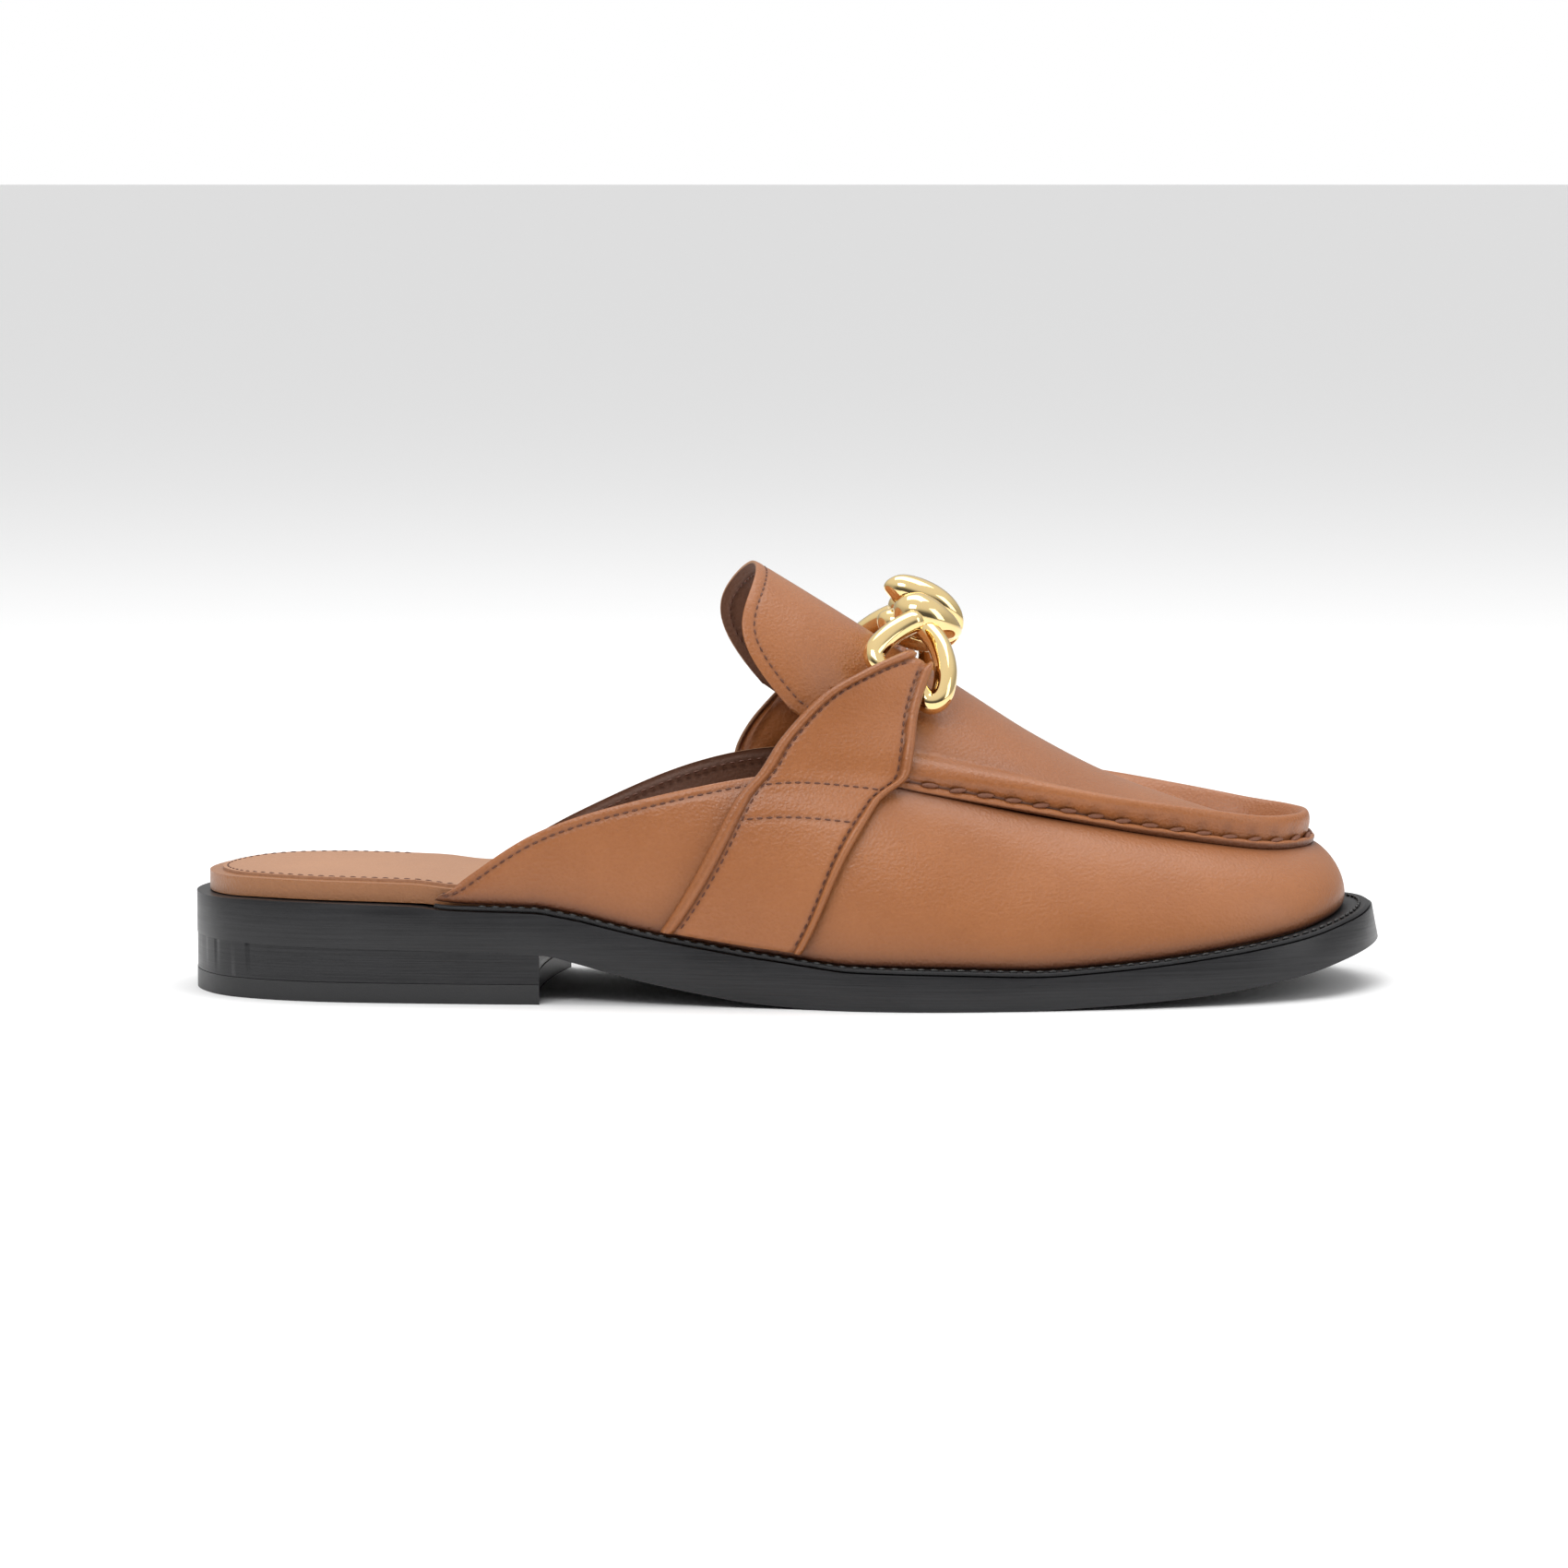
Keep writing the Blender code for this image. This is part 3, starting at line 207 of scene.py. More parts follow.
# Free part of a strap on its inner face: along, across and height of the rear and the front edge
STRAP_FREE = (
    (0.468, 0.334, 0.538, 0.589, 0.334, 0.512),
    (0.486, 0.322, 0.615, 0.596, 0.316, 0.575),
    (0.517, 0.302, 0.705, 0.600, 0.266, 0.650),
    (0.553, 0.264, 0.757, 0.606, 0.238, 0.704),
    (0.586, 0.216, 0.792, 0.612, 0.218, 0.740),
)

# Centre line of a cast ring on the medial side: along, across, height, share of the bar
RING_ROUTE = (
    (0.611, 0.228, 0.681, 1.00), (0.627, 0.212, 0.700, 1.00), (0.632, 0.176, 0.752, 1.00),
    (0.626, 0.120, 0.822, 1.00), (0.608, 0.082, 0.858, 1.00), (0.585, 0.110, 0.848, 1.00),
    (0.571, 0.155, 0.829, 1.00), (0.564, 0.202, 0.796, 1.00),
)


@dataclass
class Last:
    """The last: sizes of the shoe and the curves that every piece is drawn on."""

    sole_length: float = 0.2675
    ball_width: float = 0.0970
    heel_width: float = 0.0655
    instep_height: float = 0.0965
    heel_swing: float = math.radians(-4.3)
    toe_swing: float = math.radians(4.8)
    heel_length: float = 0.0815
    swing_end: float = 0.130
    seat_height: float = 0.0125
    toe_spring: float = 0.0106
    outsole: float = 0.0079
    footbed: float = 0.0042
    toe_ledge: float = 0.0064
    fit: float = 0.0003
    welt: float = 0.0008
    wall: float = 0.0018
    roll_width: float = 0.0075
    roll_rise: float = 0.0090
    roll_bulge: float = 0.0060
    plug_bow: float = 0.0110
    plug_bow_fade: float = 3.0
    plug_heart: float = 0.168
    wall_belly: float = 0.0012
    shift: Vector = field(default_factory=lambda: Vector((0.0, 0.0, 0.0)))

    def __post_init__(self) -> None:
        """Work out the tables in metres and the swung centre line."""
        widths = {HEEL: self.heel_width, BALL: self.ball_width}
        self.edge_rows = np.array([(a * self.sole_length, c * widths[w]) for a, c, w in SOLE_EDGE])
        scale = (self.sole_length, self.ball_width, self.instep_height, self.toe_ledge,
                 self.roll_width, self.roll_rise, self.roll_bulge)
        self.lip_rows = np.array(LIP_EDGE) * np.array(scale)
        steps = np.linspace(-0.02, 0.32, 681)
        share = ease((steps - self.heel_length) / (self.swing_end - self.heel_length))
        swing = self.heel_swing + (self.toe_swing - self.heel_swing) * share
        pace = np.gradient(steps)
        x = np.cumsum(np.cos(swing) * pace)
        y = np.cumsum(np.sin(swing) * pace)
        self.centre = (steps, x - np.interp(0.0, steps, x), y - np.interp(0.0, steps, y), swing)

    def settle(self, low: Vector, high: Vector) -> None:
        """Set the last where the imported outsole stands.

        Args:
            low: lowest corner of the outsole.
            high: highest corner of the outsole.
        """
        ring = [self.sole_edge(station)[0] for station in np.linspace(0.0, 30.0, 60, endpoint=False)]
        swung = self.place(np.array([(x, y, 0.0) for x, y in ring]))
        middle = (swung.min(axis=0) + swung.max(axis=0)) / 2.0
        self.shift = Vector(((low.x + high.x) / 2.0 - middle[0], (low.y + high.y) / 2.0 - middle[1], 0.0))

    def place(self, points: np.ndarray) -> np.ndarray:
        """Carry points (n, 3) of the straight last into the standing shoe."""
        steps, x, y, swing = self.centre
        turn = np.interp(points[:, 0], steps, swing)
        return np.column_stack((
            np.interp(points[:, 0], steps, x) - points[:, 1] * np.sin(turn) + self.shift.x,
            np.interp(points[:, 0], steps, y) + points[:, 1] * np.cos(turn) + self.shift.y,
            points[:, 2],
        ))

    def level(self, rows: Sequence[tuple[float, float]], size: float, along: np.ndarray | float) -> np.ndarray:
        """Return a height that is given in shares of a size along the sole."""
        value = smooth_value([row[0] * self.sole_length for row in rows], [row[1] * size for row in rows], along)
        return np.maximum(value, 0.0)

    def underside(self, along: np.ndarray | float) -> np.ndarray:
        """Height of the outsole's underside."""
        rows = [(a, s * self.seat_height) for a, s in UNDERSIDE_REAR]
        rows += [(a, s * self.toe_spring) for a, s in UNDERSIDE_FRONT]
        return self.level(rows, 1.0, along)

    def seat(self, along: np.ndarray | float) -> np.ndarray:
        """Height of the outsole's upper face."""
        return self.underside(along) + self.level(THICKNESS, self.outsole, along)

    def sole_edge(self, station: float, inset: float = 0.0) -> tuple[np.ndarray, np.ndarray]:
        """Return a point of the sole's edge, moved inward, and the way out."""
        step = 0.02
        point = spline(self.edge_rows, station, closed=True)
        ahead = spline(self.edge_rows, station + step, True) - spline(self.edge_rows, station - step, True)
        outward = np.array([ahead[1], -ahead[0]]) / np.linalg.norm(ahead)
        if outward[1] * point[1] < 0.0 and abs(point[1]) > 0.3 * self.heel_width:
            outward = -outward
        return point - outward * inset, outward

    def lip_row(self, station: float) -> np.ndarray:
        """Return the interpolated row of the upper's edge."""
        return spline(self.lip_rows, station, closed=False)

    def feather(self, station: float) -> tuple[np.ndarray, np.ndarray]:
        """Return the foot of the upper's wall and the way out."""
        row = self.lip_row(station)
        point, outward = self.sole_edge(FIRST_LIP + station, row[3])
        foot = float(self.seat(point[0])) + 2.0 * self.fit + self.welt
        return np.array([point[0], point[1], foot]), np.array([outward[0], outward[1], 0.0])

    def wall_points(self, station: float, shares: np.ndarray) -> np.ndarray:
        """Return points up the upper's outer wall: share 0 at the welt and 1 at its upper edge."""
        foot, outward = self.feather(station)
        edge = self.lip_row(station)[:3]
        rise = edge[2] - foot[2]
        reach = np.linalg.norm((edge - foot)[:2])
        first = foot + UP * rise * 0.42 + outward * self.wall_belly
        second = edge + outward * reach * 0.55 - UP * rise * 0.12
        t = np.asarray(shares)[:, None]
        return (1 - t) ** 3 * foot + 3 * (1 - t) ** 2 * t * first + 3 * (1 - t) * t**2 * second + t**3 * edge

    def wall_normals(self, station: float, shares: np.ndarray) -> np.ndarray:
        """Return outward unit normals of the upper's wall."""
        step = 0.02
        along = self.wall_points(station + step, shares) - self.wall_points(station - step, shares)
        rise = self.wall_points(station, np.minimum(shares + step, 1.0))
        rise = rise - self.wall_points(station, np.maximum(shares - step, 0.0))
        normals = unit(np.cross(along, rise))
        outward = self.feather(station)[1]
        flip = np.sign(normals[0] @ outward) or 1.0
        return normals * flip

    def inward(self, station: float) -> np.ndarray:
        """Return the level direction from the upper's edge to the plug."""
        step = 0.05
        ahead = self.lip_row(station + step)[:2] - self.lip_row(station - step)[:2]
        way = np.array([-ahead[1], ahead[0], 0.0]) / np.linalg.norm(ahead)
        edge = self.lip_row(station)[:2]
        centre = np.array([self.lip_row(LAST_STATION / 2.0)[0] - self.plug_heart * self.sole_length, 0.0])
        return -way if np.dot(way[:2], centre - edge) < 0.0 else way

    def plug_edge(self, station: float) -> np.ndarray:
        """Return where the plug starts inside the roll."""
        row = self.lip_row(station)
        return row[:3] + self.inward(station) * row[4] + UP * row[5]

    def roll_frame(self, station: float) -> tuple[np.ndarray, np.ndarray, np.ndarray]:
        """Return the rolled seam's start, its chord to the plug and the way it bulges."""
        row = self.lip_row(station)
        chord = self.plug_edge(station) - row[:3]
        lean = unit(np.cross(np.cross(self.inward(station), UP), chord))
        if lean[2] < 0.0:
            lean = -lean
        return row[:3], chord, lean * row[6]

    def ridge_height(self, along: float) -> float:
        """Height of the plug's ridge."""
        return float(smooth_value([row[0] * self.sole_length for row in PLUG_RIDGE],
                                  [row[1] * self.instep_height for row in PLUG_RIDGE], along))

    def plug_rung(self, station: float, shares: np.ndarray) -> np.ndarray:
        """Return points across the plug from the lateral station to its medial partner."""
        left = self.plug_edge(station)
        right = self.plug_edge(LAST_STATION - station)
        back = 1.0 - min(max((station - FIRST_ROLL) / self.plug_bow_fade, 0.0), 1.0)
        bow = self.plug_bow * back * back
        middle = self.ridge_height(0.5 * (left[0] + right[0]) + bow)
        dome = 1.0 - np.abs(2.0 * shares - 1.0) ** 2.0
        points = left + (right - left) * shares[:, None]
        lift = np.array([bow, 0.0, middle - 0.5 * (left[2] + right[2])])
        return points + dome[:, None] * lift


class Value:
    """A number that varies over a surface: a socket with arithmetic."""

    def __init__(self, graph: Graph, socket: bpy.types.NodeSocket) -> None:
        """Wrap a socket of a graph."""
        self.graph = graph
        self.socket = socket

    def _with(self, operation: str, first: object, second: object) -> Value:
        """Return the result of one Math node."""
        node = self.graph.add("ShaderNodeMath", {"operation": operation}, {0: first, 1: second})
        return Value(self.graph, node.outputs[0])

    def __add__(self, other: Value | float) -> Value:
        """Return self + other."""
        return self._with("ADD", self, other)

    __radd__ = __add__

    def __mul__(self, other: Value | float) -> Value:
        """Return self * other."""
        return self._with("MULTIPLY", self, other)

    __rmul__ = __mul__

    def __sub__(self, other: Value | float) -> Value:
        """Return self - other."""
        return self._with("SUBTRACT", self, other)

    def __rsub__(self, other: Value | float) -> Value:
        """Return other - self."""
        return self._with("SUBTRACT", other, self)

    def __pow__(self, other: float) -> Value:
        """Return self to a power."""
        return self._with("POWER", self, other)

    def clamp(self) -> Value:
        """Return self kept from 0 to 1."""
        node = self.graph.add("ShaderNodeClamp", {}, {0: self})
        return Value(self.graph, node.outputs[0])


Input = Value | bpy.types.NodeSocket | float | tuple


class Graph:
    """A node tree that is filled node by node."""

    def __init__(self, tree: bpy.types.NodeTree, space: str) -> None:
        """Start with the coordinates of one space."""
        self.tree = tree
        self.coords = self.add("ShaderNodeTexCoord", {}, {}).outputs[space]

    def add(self, kind: str, settings: dict[str, object], values: dict[int | str, Input]) -> bpy.types.Node:
        """Add one node.

        Args:
            kind: the node's type.
            settings: its own settings, set before its sockets.
            values: values or links for its input sockets.

        Returns:
            The node.
        """
        node = self.tree.nodes.new(kind)
        for name, setting in settings.items():
            if name == "stops":
                for element, (place, colour) in zip(self._stops(node, len(setting)), setting):
                    element.position = place
                    element.color = (*colour, 1.0)
            else:
                setattr(node, name, setting)
        for key, value in values.items():
            self.plug(node.inputs[key], value)
        return node

    @staticmethod
    def _stops(node: bpy.types.Node, count: int) -> list[bpy.types.ColorRampElement]:
        """Return the elements of a ramp after giving it that many."""
        elements = node.color_ramp.elements
        while len(elements) < count:
            elements.new(1.0)
        return list(elements)

    def plug(self, socket: bpy.types.NodeSocket, value: Input) -> None:
        """Link a value to a socket, or set it there."""
        if isinstance(value, Value):
            value = value.socket
        if isinstance(value, bpy.types.NodeSocket):
            self.tree.links.new(value, socket)
        elif isinstance(value, tuple) and len(value) == 3 and socket.type == "RGBA":
            socket.default_value = (*value, 1.0)
        else:
            socket.default_value = value

    def stretched(self, scale: tuple[float, float, float], turn: tuple[float, float, float] = (0.0, 0.0, 0.0)
                  ) -> bpy.types.NodeSocket:
        """Return the object coordinates scaled along each axis."""
        return self.add("ShaderNodeMapping", {}, {"Vector": self.coords, "Scale": scale, "Rotation": turn}).outputs[0]

    def noise(self, scale: float, detail: float = 3.0, rough: float = 0.5, vector: bpy.types.NodeSocket | None = None,
              distortion: float = 0.0) -> Value:
        """Return a noise from 0 to 1, with scale in cells a metre."""
        node = self.add("ShaderNodeTexNoise", {}, {"Vector": vector or self.coords, "Scale": scale, "Detail": detail,
                                                    "Roughness": rough, "Distortion": distortion})
        return Value(self, node.outputs[0])

    def cells(self, scale: float, feature: str = "F1") -> Value:
        """Return the distance inside Voronoi cells, with scale in cells a metre."""
        node = self.add("ShaderNodeTexVoronoi", {"feature": feature}, {"Vector": self.coords, "Scale": scale})
        return Value(self, node.outputs["Distance"])

    def attribute(self, name: str) -> Value:
        """Return a number stored on the piece's points."""
        node = self.add("ShaderNodeAttribute", {"attribute_name": name}, {})
        return Value(self, node.outputs["Fac"])

    def mix(self, factor: Value | float, first: Input, second: Input) -> bpy.types.NodeSocket:
        """Return a mix of two colours."""
        node = self.add("ShaderNodeMix", {"data_type": "RGBA"}, {0: factor, 6: first, 7: second})
        return node.outputs[2]

    def steps(self, factor: Value, stops: Sequence[tuple[float, tuple[float, float, float]]]) -> bpy.types.NodeSocket:
        """Return a colour ramp of a value."""
        return self.add("ShaderNodeValToRGB", {"stops": stops}, {0: factor}).outputs[0]

    def parts(self) -> tuple[Value, Value, Value]:
        """Return the three coordinates as numbers."""
        node = self.add("ShaderNodeSeparateXYZ", {}, {0: self.coords})
        return tuple(Value(self, socket) for socket in node.outputs)


class Surface(Graph):
    """The node tree of one material."""

    def __init__(self, name: str) -> None:
        """Start a material with an empty Principled shader."""
        self.material = bpy.data.materials.new(name)
        self.material.use_nodes = True
        self.shader = self.material.node_tree.nodes["Principled BSDF"]
        super().__init__(self.material.node_tree, "Object")

    def relief(self, height: Value, depth: float, strength: float = 1.0) -> None:
        """Drive the shader's normal from a height of that depth in metres."""
        node = self.add("ShaderNodeBump", {}, {"Strength": strength, "Distance": depth, "Height": height})
        self.plug(self.shader.inputs["Normal"], node.outputs[0])

    def set(self, **values: Input) -> None:
        """Set the shader's sockets by name, with _ for a space."""
        for name, value in values.items():
            self.plug(self.shader.inputs[name.replace("_", " ")], value)


@dataclass(frozen=True)
class Leather:
    """Smooth calf: fine pores, soft mottling, and painted shading that darkens it in grooves, creases, hollows and
    corners.
    """

    name: str
    colour: tuple[float, float, float]
    light: tuple[float, float, float]
    painted_shade_colour: tuple[float, float, float]
    roughness: float = 0.38
    pore: float = 1350.0
    depth: float = 0.00016
    coat: float = 0.10
    wrinkle: float = 0.55

    def build(self) -> bpy.types.Material:
        """Return the material."""
        graph = Surface(self.name)
        shade = graph.attribute("shade")
        cloud = graph.noise(26.0, 4.0, 0.55)
        fleck = graph.noise(900.0, 3.0, 0.65)
        pores = graph.cells(self.pore)
        fine = graph.noise(2600.0, 3.0, 0.6)
        creases = graph.noise(1.0, 4.0, 0.6, graph.stretched((330.0, 620.0, 900.0), (0.2, 0.5, 0.3)), 0.9)
        tone = ((cloud - 0.5) * 2.2 + (fleck - 0.5) * 0.5 + (pores - 0.4) * 0.3 + 0.5).clamp()
        base = graph.mix(tone, self.colour, self.light)
        # Painted shading: mixes towards the darkest colour where the points' attribute marks a groove, crease, hollow
        # or corner.
        base = graph.mix((shade + (cloud - 0.5) * 0.3 * shade).clamp(), base, self.painted_shade_colour)
        rough = (cloud - 0.5) * 0.20 + (fleck - 0.5) * 0.14 + shade * 0.10 + self.roughness
        graph.set(Base_Color=base, Roughness=rough.clamp(), Coat_Weight=self.coat, Coat_Roughness=0.25,
                  Specular_IOR_Level=0.5)
        graph.relief(pores * 0.55 + fine * 0.35 + creases * self.wrinkle, self.depth)
        return graph.material


@dataclass(frozen=True)
class BurnishedEdge:
    """Black stacked leather, burnished: fine level lines over a satin gloss."""

    name: str
    colour: tuple[float, float, float] = (0.0065, 0.0065, 0.0075)
    worn: tuple[float, float, float] = (0.024, 0.024, 0.026)
    roughness: float = 0.37
    lines: float = 2300.0
    depth: float = 0.00006

    def build(self) -> bpy.types.Material:
        """Return the material."""
        graph = Surface(self.name)
        layers = graph.noise(1.0, 5.0, 0.65, graph.stretched((26.0, 26.0, self.lines)), 0.1)
        streak = graph.noise(1.0, 4.0, 0.6, graph.stretched((60.0, 60.0, 700.0)), 0.1)
        cloud = graph.noise(40.0, 3.0)
        tone = ((layers - 0.5) * 1.5 + (streak - 0.5) * 0.8 + (cloud - 0.5) * 0.6 + 0.35).clamp()
        base = graph.mix(tone, self.colour, self.worn)
        rough = (layers - 0.5) * 0.22 + (cloud - 0.5) * 0.2 + self.roughness
        graph.set(Base_Color=base, Roughness=rough.clamp(), Specular_IOR_Level=0.42)
        graph.relief(layers * 0.7 + streak * 0.5, self.depth)
        return graph.material


@dataclass(frozen=True)
class Rubber:
    """Black satin rubber of the top lift."""

    name: str
    colour: tuple[float, float, float] = (0.013, 0.013, 0.014)
    roughness: float = 0.45

    def build(self) -> bpy.types.Material:
        """Return the material."""
        graph = Surface(self.name)
        cloud = graph.noise(60.0, 4.0, 0.6)
        fine = graph.noise(2200.0, 3.0, 0.6)
        base = graph.mix((cloud * 0.8).clamp(), self.colour, (0.026, 0.026, 0.027))
        graph.set(Base_Color=base, Roughness=((cloud - 0.5) * 0.2 + self.roughness).clamp())
        graph.relief(fine, 0.00004)
        return graph.material


@dataclass(frozen=True)
class Gilding:
    """Polished gold plate with the faintest handling haze."""

    name: str
    colour: tuple[float, float, float] = (0.93, 0.72, 0.36)
    haze: tuple[float, float, float] = (0.88, 0.64, 0.29)

    def build(self) -> bpy.types.Material:
        """Return the material."""
        graph = Surface(self.name)
        cloud = graph.noise(160.0, 4.0, 0.6)
        fine = graph.noise(1.0, 3.0, 0.6, graph.stretched((900.0, 900.0, 2600.0)))
        base = graph.mix(cloud, self.colour, self.haze)
        graph.set(Base_Color=base, Metallic=1.0, Roughness=(cloud * 0.05 + fine * 0.03 + 0.025).clamp())
        graph.relief(cloud, 0.00002, 0.4)
        return graph.material


@dataclass(frozen=True)
class Thread:
    """Waxed sewing thread, twisted."""

    name: str
    colour: tuple[float, float, float]
    light: tuple[float, float, float]
    roughness: float = 0.5
    twist: float = 2600.0

    def build(self) -> bpy.types.Material:
        """Return the material."""
        graph = Surface(self.name)
        strands = graph.noise(1.0, 2.0, 0.5, graph.stretched((self.twist, self.twist * 0.4, self.twist),
                                                             (0.0, 0.7, 0.5)))
        cloud = graph.noise(120.0, 2.0)
        base = graph.mix((strands * 0.8 + (cloud - 0.5) * 0.4).clamp(), self.colour, self.light)
        graph.set(Base_Color=base, Roughness=self.roughness)
        graph.relief(strands, 0.00012)
        return graph.material


@dataclass(frozen=True)
class Floor:
    """Plain pale studio floor."""

    name: str = "pale_floor"
    colour: tuple[float, float, float] = (0.93, 0.93, 0.93)

    def build(self) -> bpy.types.Material:
        """Return the material."""
        graph = Surface(self.name)
        graph.set(Base_Color=self.colour, Roughness=0.7, Specular_IOR_Level=0.1)
        return graph.material


# Each leather's third colour is the one its painted shading darkens towards.
TAN = Leather("tan_leather", (0.285, 0.092, 0.023), (0.360, 0.128, 0.038), (0.060, 0.016, 0.006))
LINING = Leather("lining_leather", (0.120, 0.048, 0.024), (0.160, 0.066, 0.034), (0.035, 0.014, 0.009),
                 roughness=0.62, coat=0.0, depth=0.00012)
CUT_EDGE = Leather("cut_edge_leather", (0.330, 0.165, 0.082), (0.400, 0.215, 0.115), (0.100, 0.038, 0.018),
                   roughness=0.70, coat=0.0, pore=2600.0, depth=0.00018)
FOOTBED_TAN = Leather("footbed_leather", (0.300, 0.120, 0.045), (0.350, 0.150, 0.060), (0.080, 0.026, 0.011),
                      roughness=0.42)
SOCK_TAN = Leather("sock_leather", (0.370, 0.180, 0.095), (0.430, 0.220, 0.120), (0.110, 0.042, 0.020),
                   roughness=0.58, coat=0.0)
BLACK_SOLE = BurnishedEdge("black_sole_edge")
BLACK_HEEL = BurnishedEdge("black_heel_stack", lines=3000.0, depth=0.00010)
BLACK_WELT = BurnishedEdge("black_welt", roughness=0.55, lines=900.0, depth=0.00015)
BLACK_LIFT = Rubber("black_lift_rubber")
GOLD = Gilding("gold_plate")
BROWN_THREAD = Thread("brown_thread", (0.085, 0.026, 0.012), (0.150, 0.050, 0.022))
HAND_THREAD = Thread("hand_thread", (0.130, 0.044, 0.020), (0.240, 0.090, 0.042), twist=1700.0)
BLACK_THREAD = Thread("black_thread", (0.006, 0.006, 0.006), (0.016, 0.016, 0.016), roughness=0.35)

Column = Callable[[float], tuple[np.ndarray, np.ndarray]]


@dataclass
class Workshop:
    """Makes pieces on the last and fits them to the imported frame."""

    last: Last
    made: dict[str, bpy.types.Material] = field(default_factory=dict)
    names: list[str] = field(default_factory=list)

    def dye(self, finish: Leather | BurnishedEdge | Rubber | Gilding | Thread | Floor) -> bpy.types.Material:
        """Return the material of a finish, built once."""
        if finish.name not in self.made:
            self.made[finish.name] = finish.build()
        return self.made[finish.name]

    def sheet(self, builder: bmesh.types.BMesh, columns: int, rows: int, column_at: Column) -> None:
        """Lay one grid over a surface of the last.

        Args:
            builder: the mesh that the grid goes into.
            columns: number of steps along u.
            rows: number of steps along v.
            column_at: gives for u the points of a column, rows + 1 of them, and the painted shading at each.
        """
        # The layer carries shading painted into the leather's colour.
        shade = builder.verts.layers.float.get("shade") or builder.verts.layers.float.new("shade")
        old = set(builder.verts)
        bmesh.ops.create_grid(builder, x_segments=columns, y_segments=rows, size=0.5)
        columns_made: dict[int, tuple[np.ndarray, np.ndarray]] = {}
        for vert in builder.verts:
            if vert in old:
                continue
            column = round((vert.co.x + 0.5) * columns)
            row = round((vert.co.y + 0.5) * rows)
            if column not in columns_made:
                points, painted_shades = column_at(column / columns)
                columns_made[column] = (self.last.place(points), np.broadcast_to(painted_shades, (rows + 1,)))
            points, painted_shades = columns_made[column]
            vert.co = Vector(points[row])
            vert[shade] = float(np.clip(painted_shades[row], 0.0, 1.0))

    def piece(self, name: str, builder: bmesh.types.BMesh, finishes: Iterable[object], slot: str,
              replaces: Sequence[str] = (), sharp: float = 50.0) -> bpy.types.Object:
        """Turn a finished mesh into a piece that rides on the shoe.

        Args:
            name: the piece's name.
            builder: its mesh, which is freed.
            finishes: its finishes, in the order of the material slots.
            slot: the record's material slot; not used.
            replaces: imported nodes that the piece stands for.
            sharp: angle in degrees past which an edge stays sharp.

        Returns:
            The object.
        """
        mesh = bpy.data.meshes.new(name)
        builder.to_mesh(mesh)
        builder.free()
        for finish in finishes:
            mesh.materials.append(self.dye(finish))
        item = bpy.data.objects.new(name, mesh)
        bpy.context.scene.collection.objects.link(item)
        mesh.shade_smooth()
        mesh.set_sharp_from_angle(angle=math.radians(sharp))
        if replaces:
            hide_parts(*replaces)
        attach(item, "root")
        self.names.append(name)
        LOG.info("%s: %d faces", name, len(mesh.polygons))
        return item

    def face_outward(self, builder: bmesh.types.BMesh, sample: Vector) -> None:
        """Turn an open sheet's faces so that the face nearest a sample points towards it."""
        bmesh.ops.recalc_face_normals(builder, faces=builder.faces)
        near = min(builder.faces, key=lambda face: (face.calc_center_median() - sample).length)
        if near.normal.dot(sample - near.calc_center_median()) < 0.0:
            bmesh.ops.reverse_faces(builder, faces=builder.faces)

    def thicken(self, item: bpy.types.Object, wall: float, rim: Rim, inner: int = 1) -> None:
        """Give a leather sheet its thickness inward, with its own lining and rim."""
        solid = item.modifiers.new("thickness", "SOLIDIFY")
        solid.thickness = wall
        solid.offset = -1.0
        solid.use_even_offset = False
        solid.thickness_clamp = 0.6
        solid.material_offset = inner
        solid.material_offset_rim = rim.value

    def stitches(self, name: str, path: np.ndarray, normals: np.ndarray, pitch: float, size: tuple[float, float, float],
                 finish: Thread, slot: str, sunk: float = 0.35, slant: float = 0.0, wander: float = 0.0,
                 joined: bmesh.types.BMesh | None = None) -> None:
        """Sew a row of stitches along a path in the standing shoe.

        Args:
            name: the piece's name.
            path: points (n, 3) of the row.
            normals: outward normals (n, 3) there.
            pitch: distance from stitch to stitch.
            size: length, width and height of one stitch.
            finish: the thread.
            slot: the record's material slot.
            sunk: share of the height that lies in the leather.
            slant: turn of each stitch in its surface, in radians.
            wander: share by which the turn varies from stitch to stitch.
            joined: a mesh that the row is added to instead of becoming a piece.
        """
        builder = joined or bmesh.new()
        gaps = np.linalg.norm(np.diff(path, axis=0), axis=1)
        run = np.concatenate(([0.0], np.cumsum(gaps)))
        count = max(int(run[-1] / pitch), 1)
        for index in range(count):
            place = (index + 0.5) * run[-1] / count
            half = min(size[0] * 0.5, run[-1] * 0.02)
            centre = self._on(path, run, place)
            ahead = unit(self._on(path, run, place + half) - self._on(path, run, place - half))
            up = unit(self._on(normals, run, place))
            beside = unit(np.cross(up, ahead))
            turn = slant * (1.0 + wander * math.sin(index * 2.4))
            forward = ahead * math.cos(turn) + beside * math.sin(turn)
            beside = unit(np.cross(up, forward))
            centre = centre + up * size[2] * (0.5 - sunk)
            turned = Matrix((
                (forward[0] * size[0] / 2, beside[0] * size[1] / 2, up[0] * size[2] / 2, centre[0]),
                (forward[1] * size[0] / 2, beside[1] * size[1] / 2, up[1] * size[2] / 2, centre[1]),
                (forward[2] * size[0] / 2, beside[2] * size[1] / 2, up[2] * size[2] / 2, centre[2]),
                (0.0, 0.0, 0.0, 1.0),
            ))
            bmesh.ops.create_uvsphere(builder, u_segments=8, v_segments=5, radius=1.0,
                                      matrix=turned @ Matrix.Rotation(math.pi / 2.0, 4, "Y"))
        if joined is None:
            self.piece(name, builder, [finish], slot, sharp=180.0)

    @staticmethod
    def _on(rows: np.ndarray, run: np.ndarray, place: float) -> np.ndarray:
        """Return the row at a distance along a run."""
        return np.array([np.interp(place, run, rows[:, axis]) for axis in range(3)])


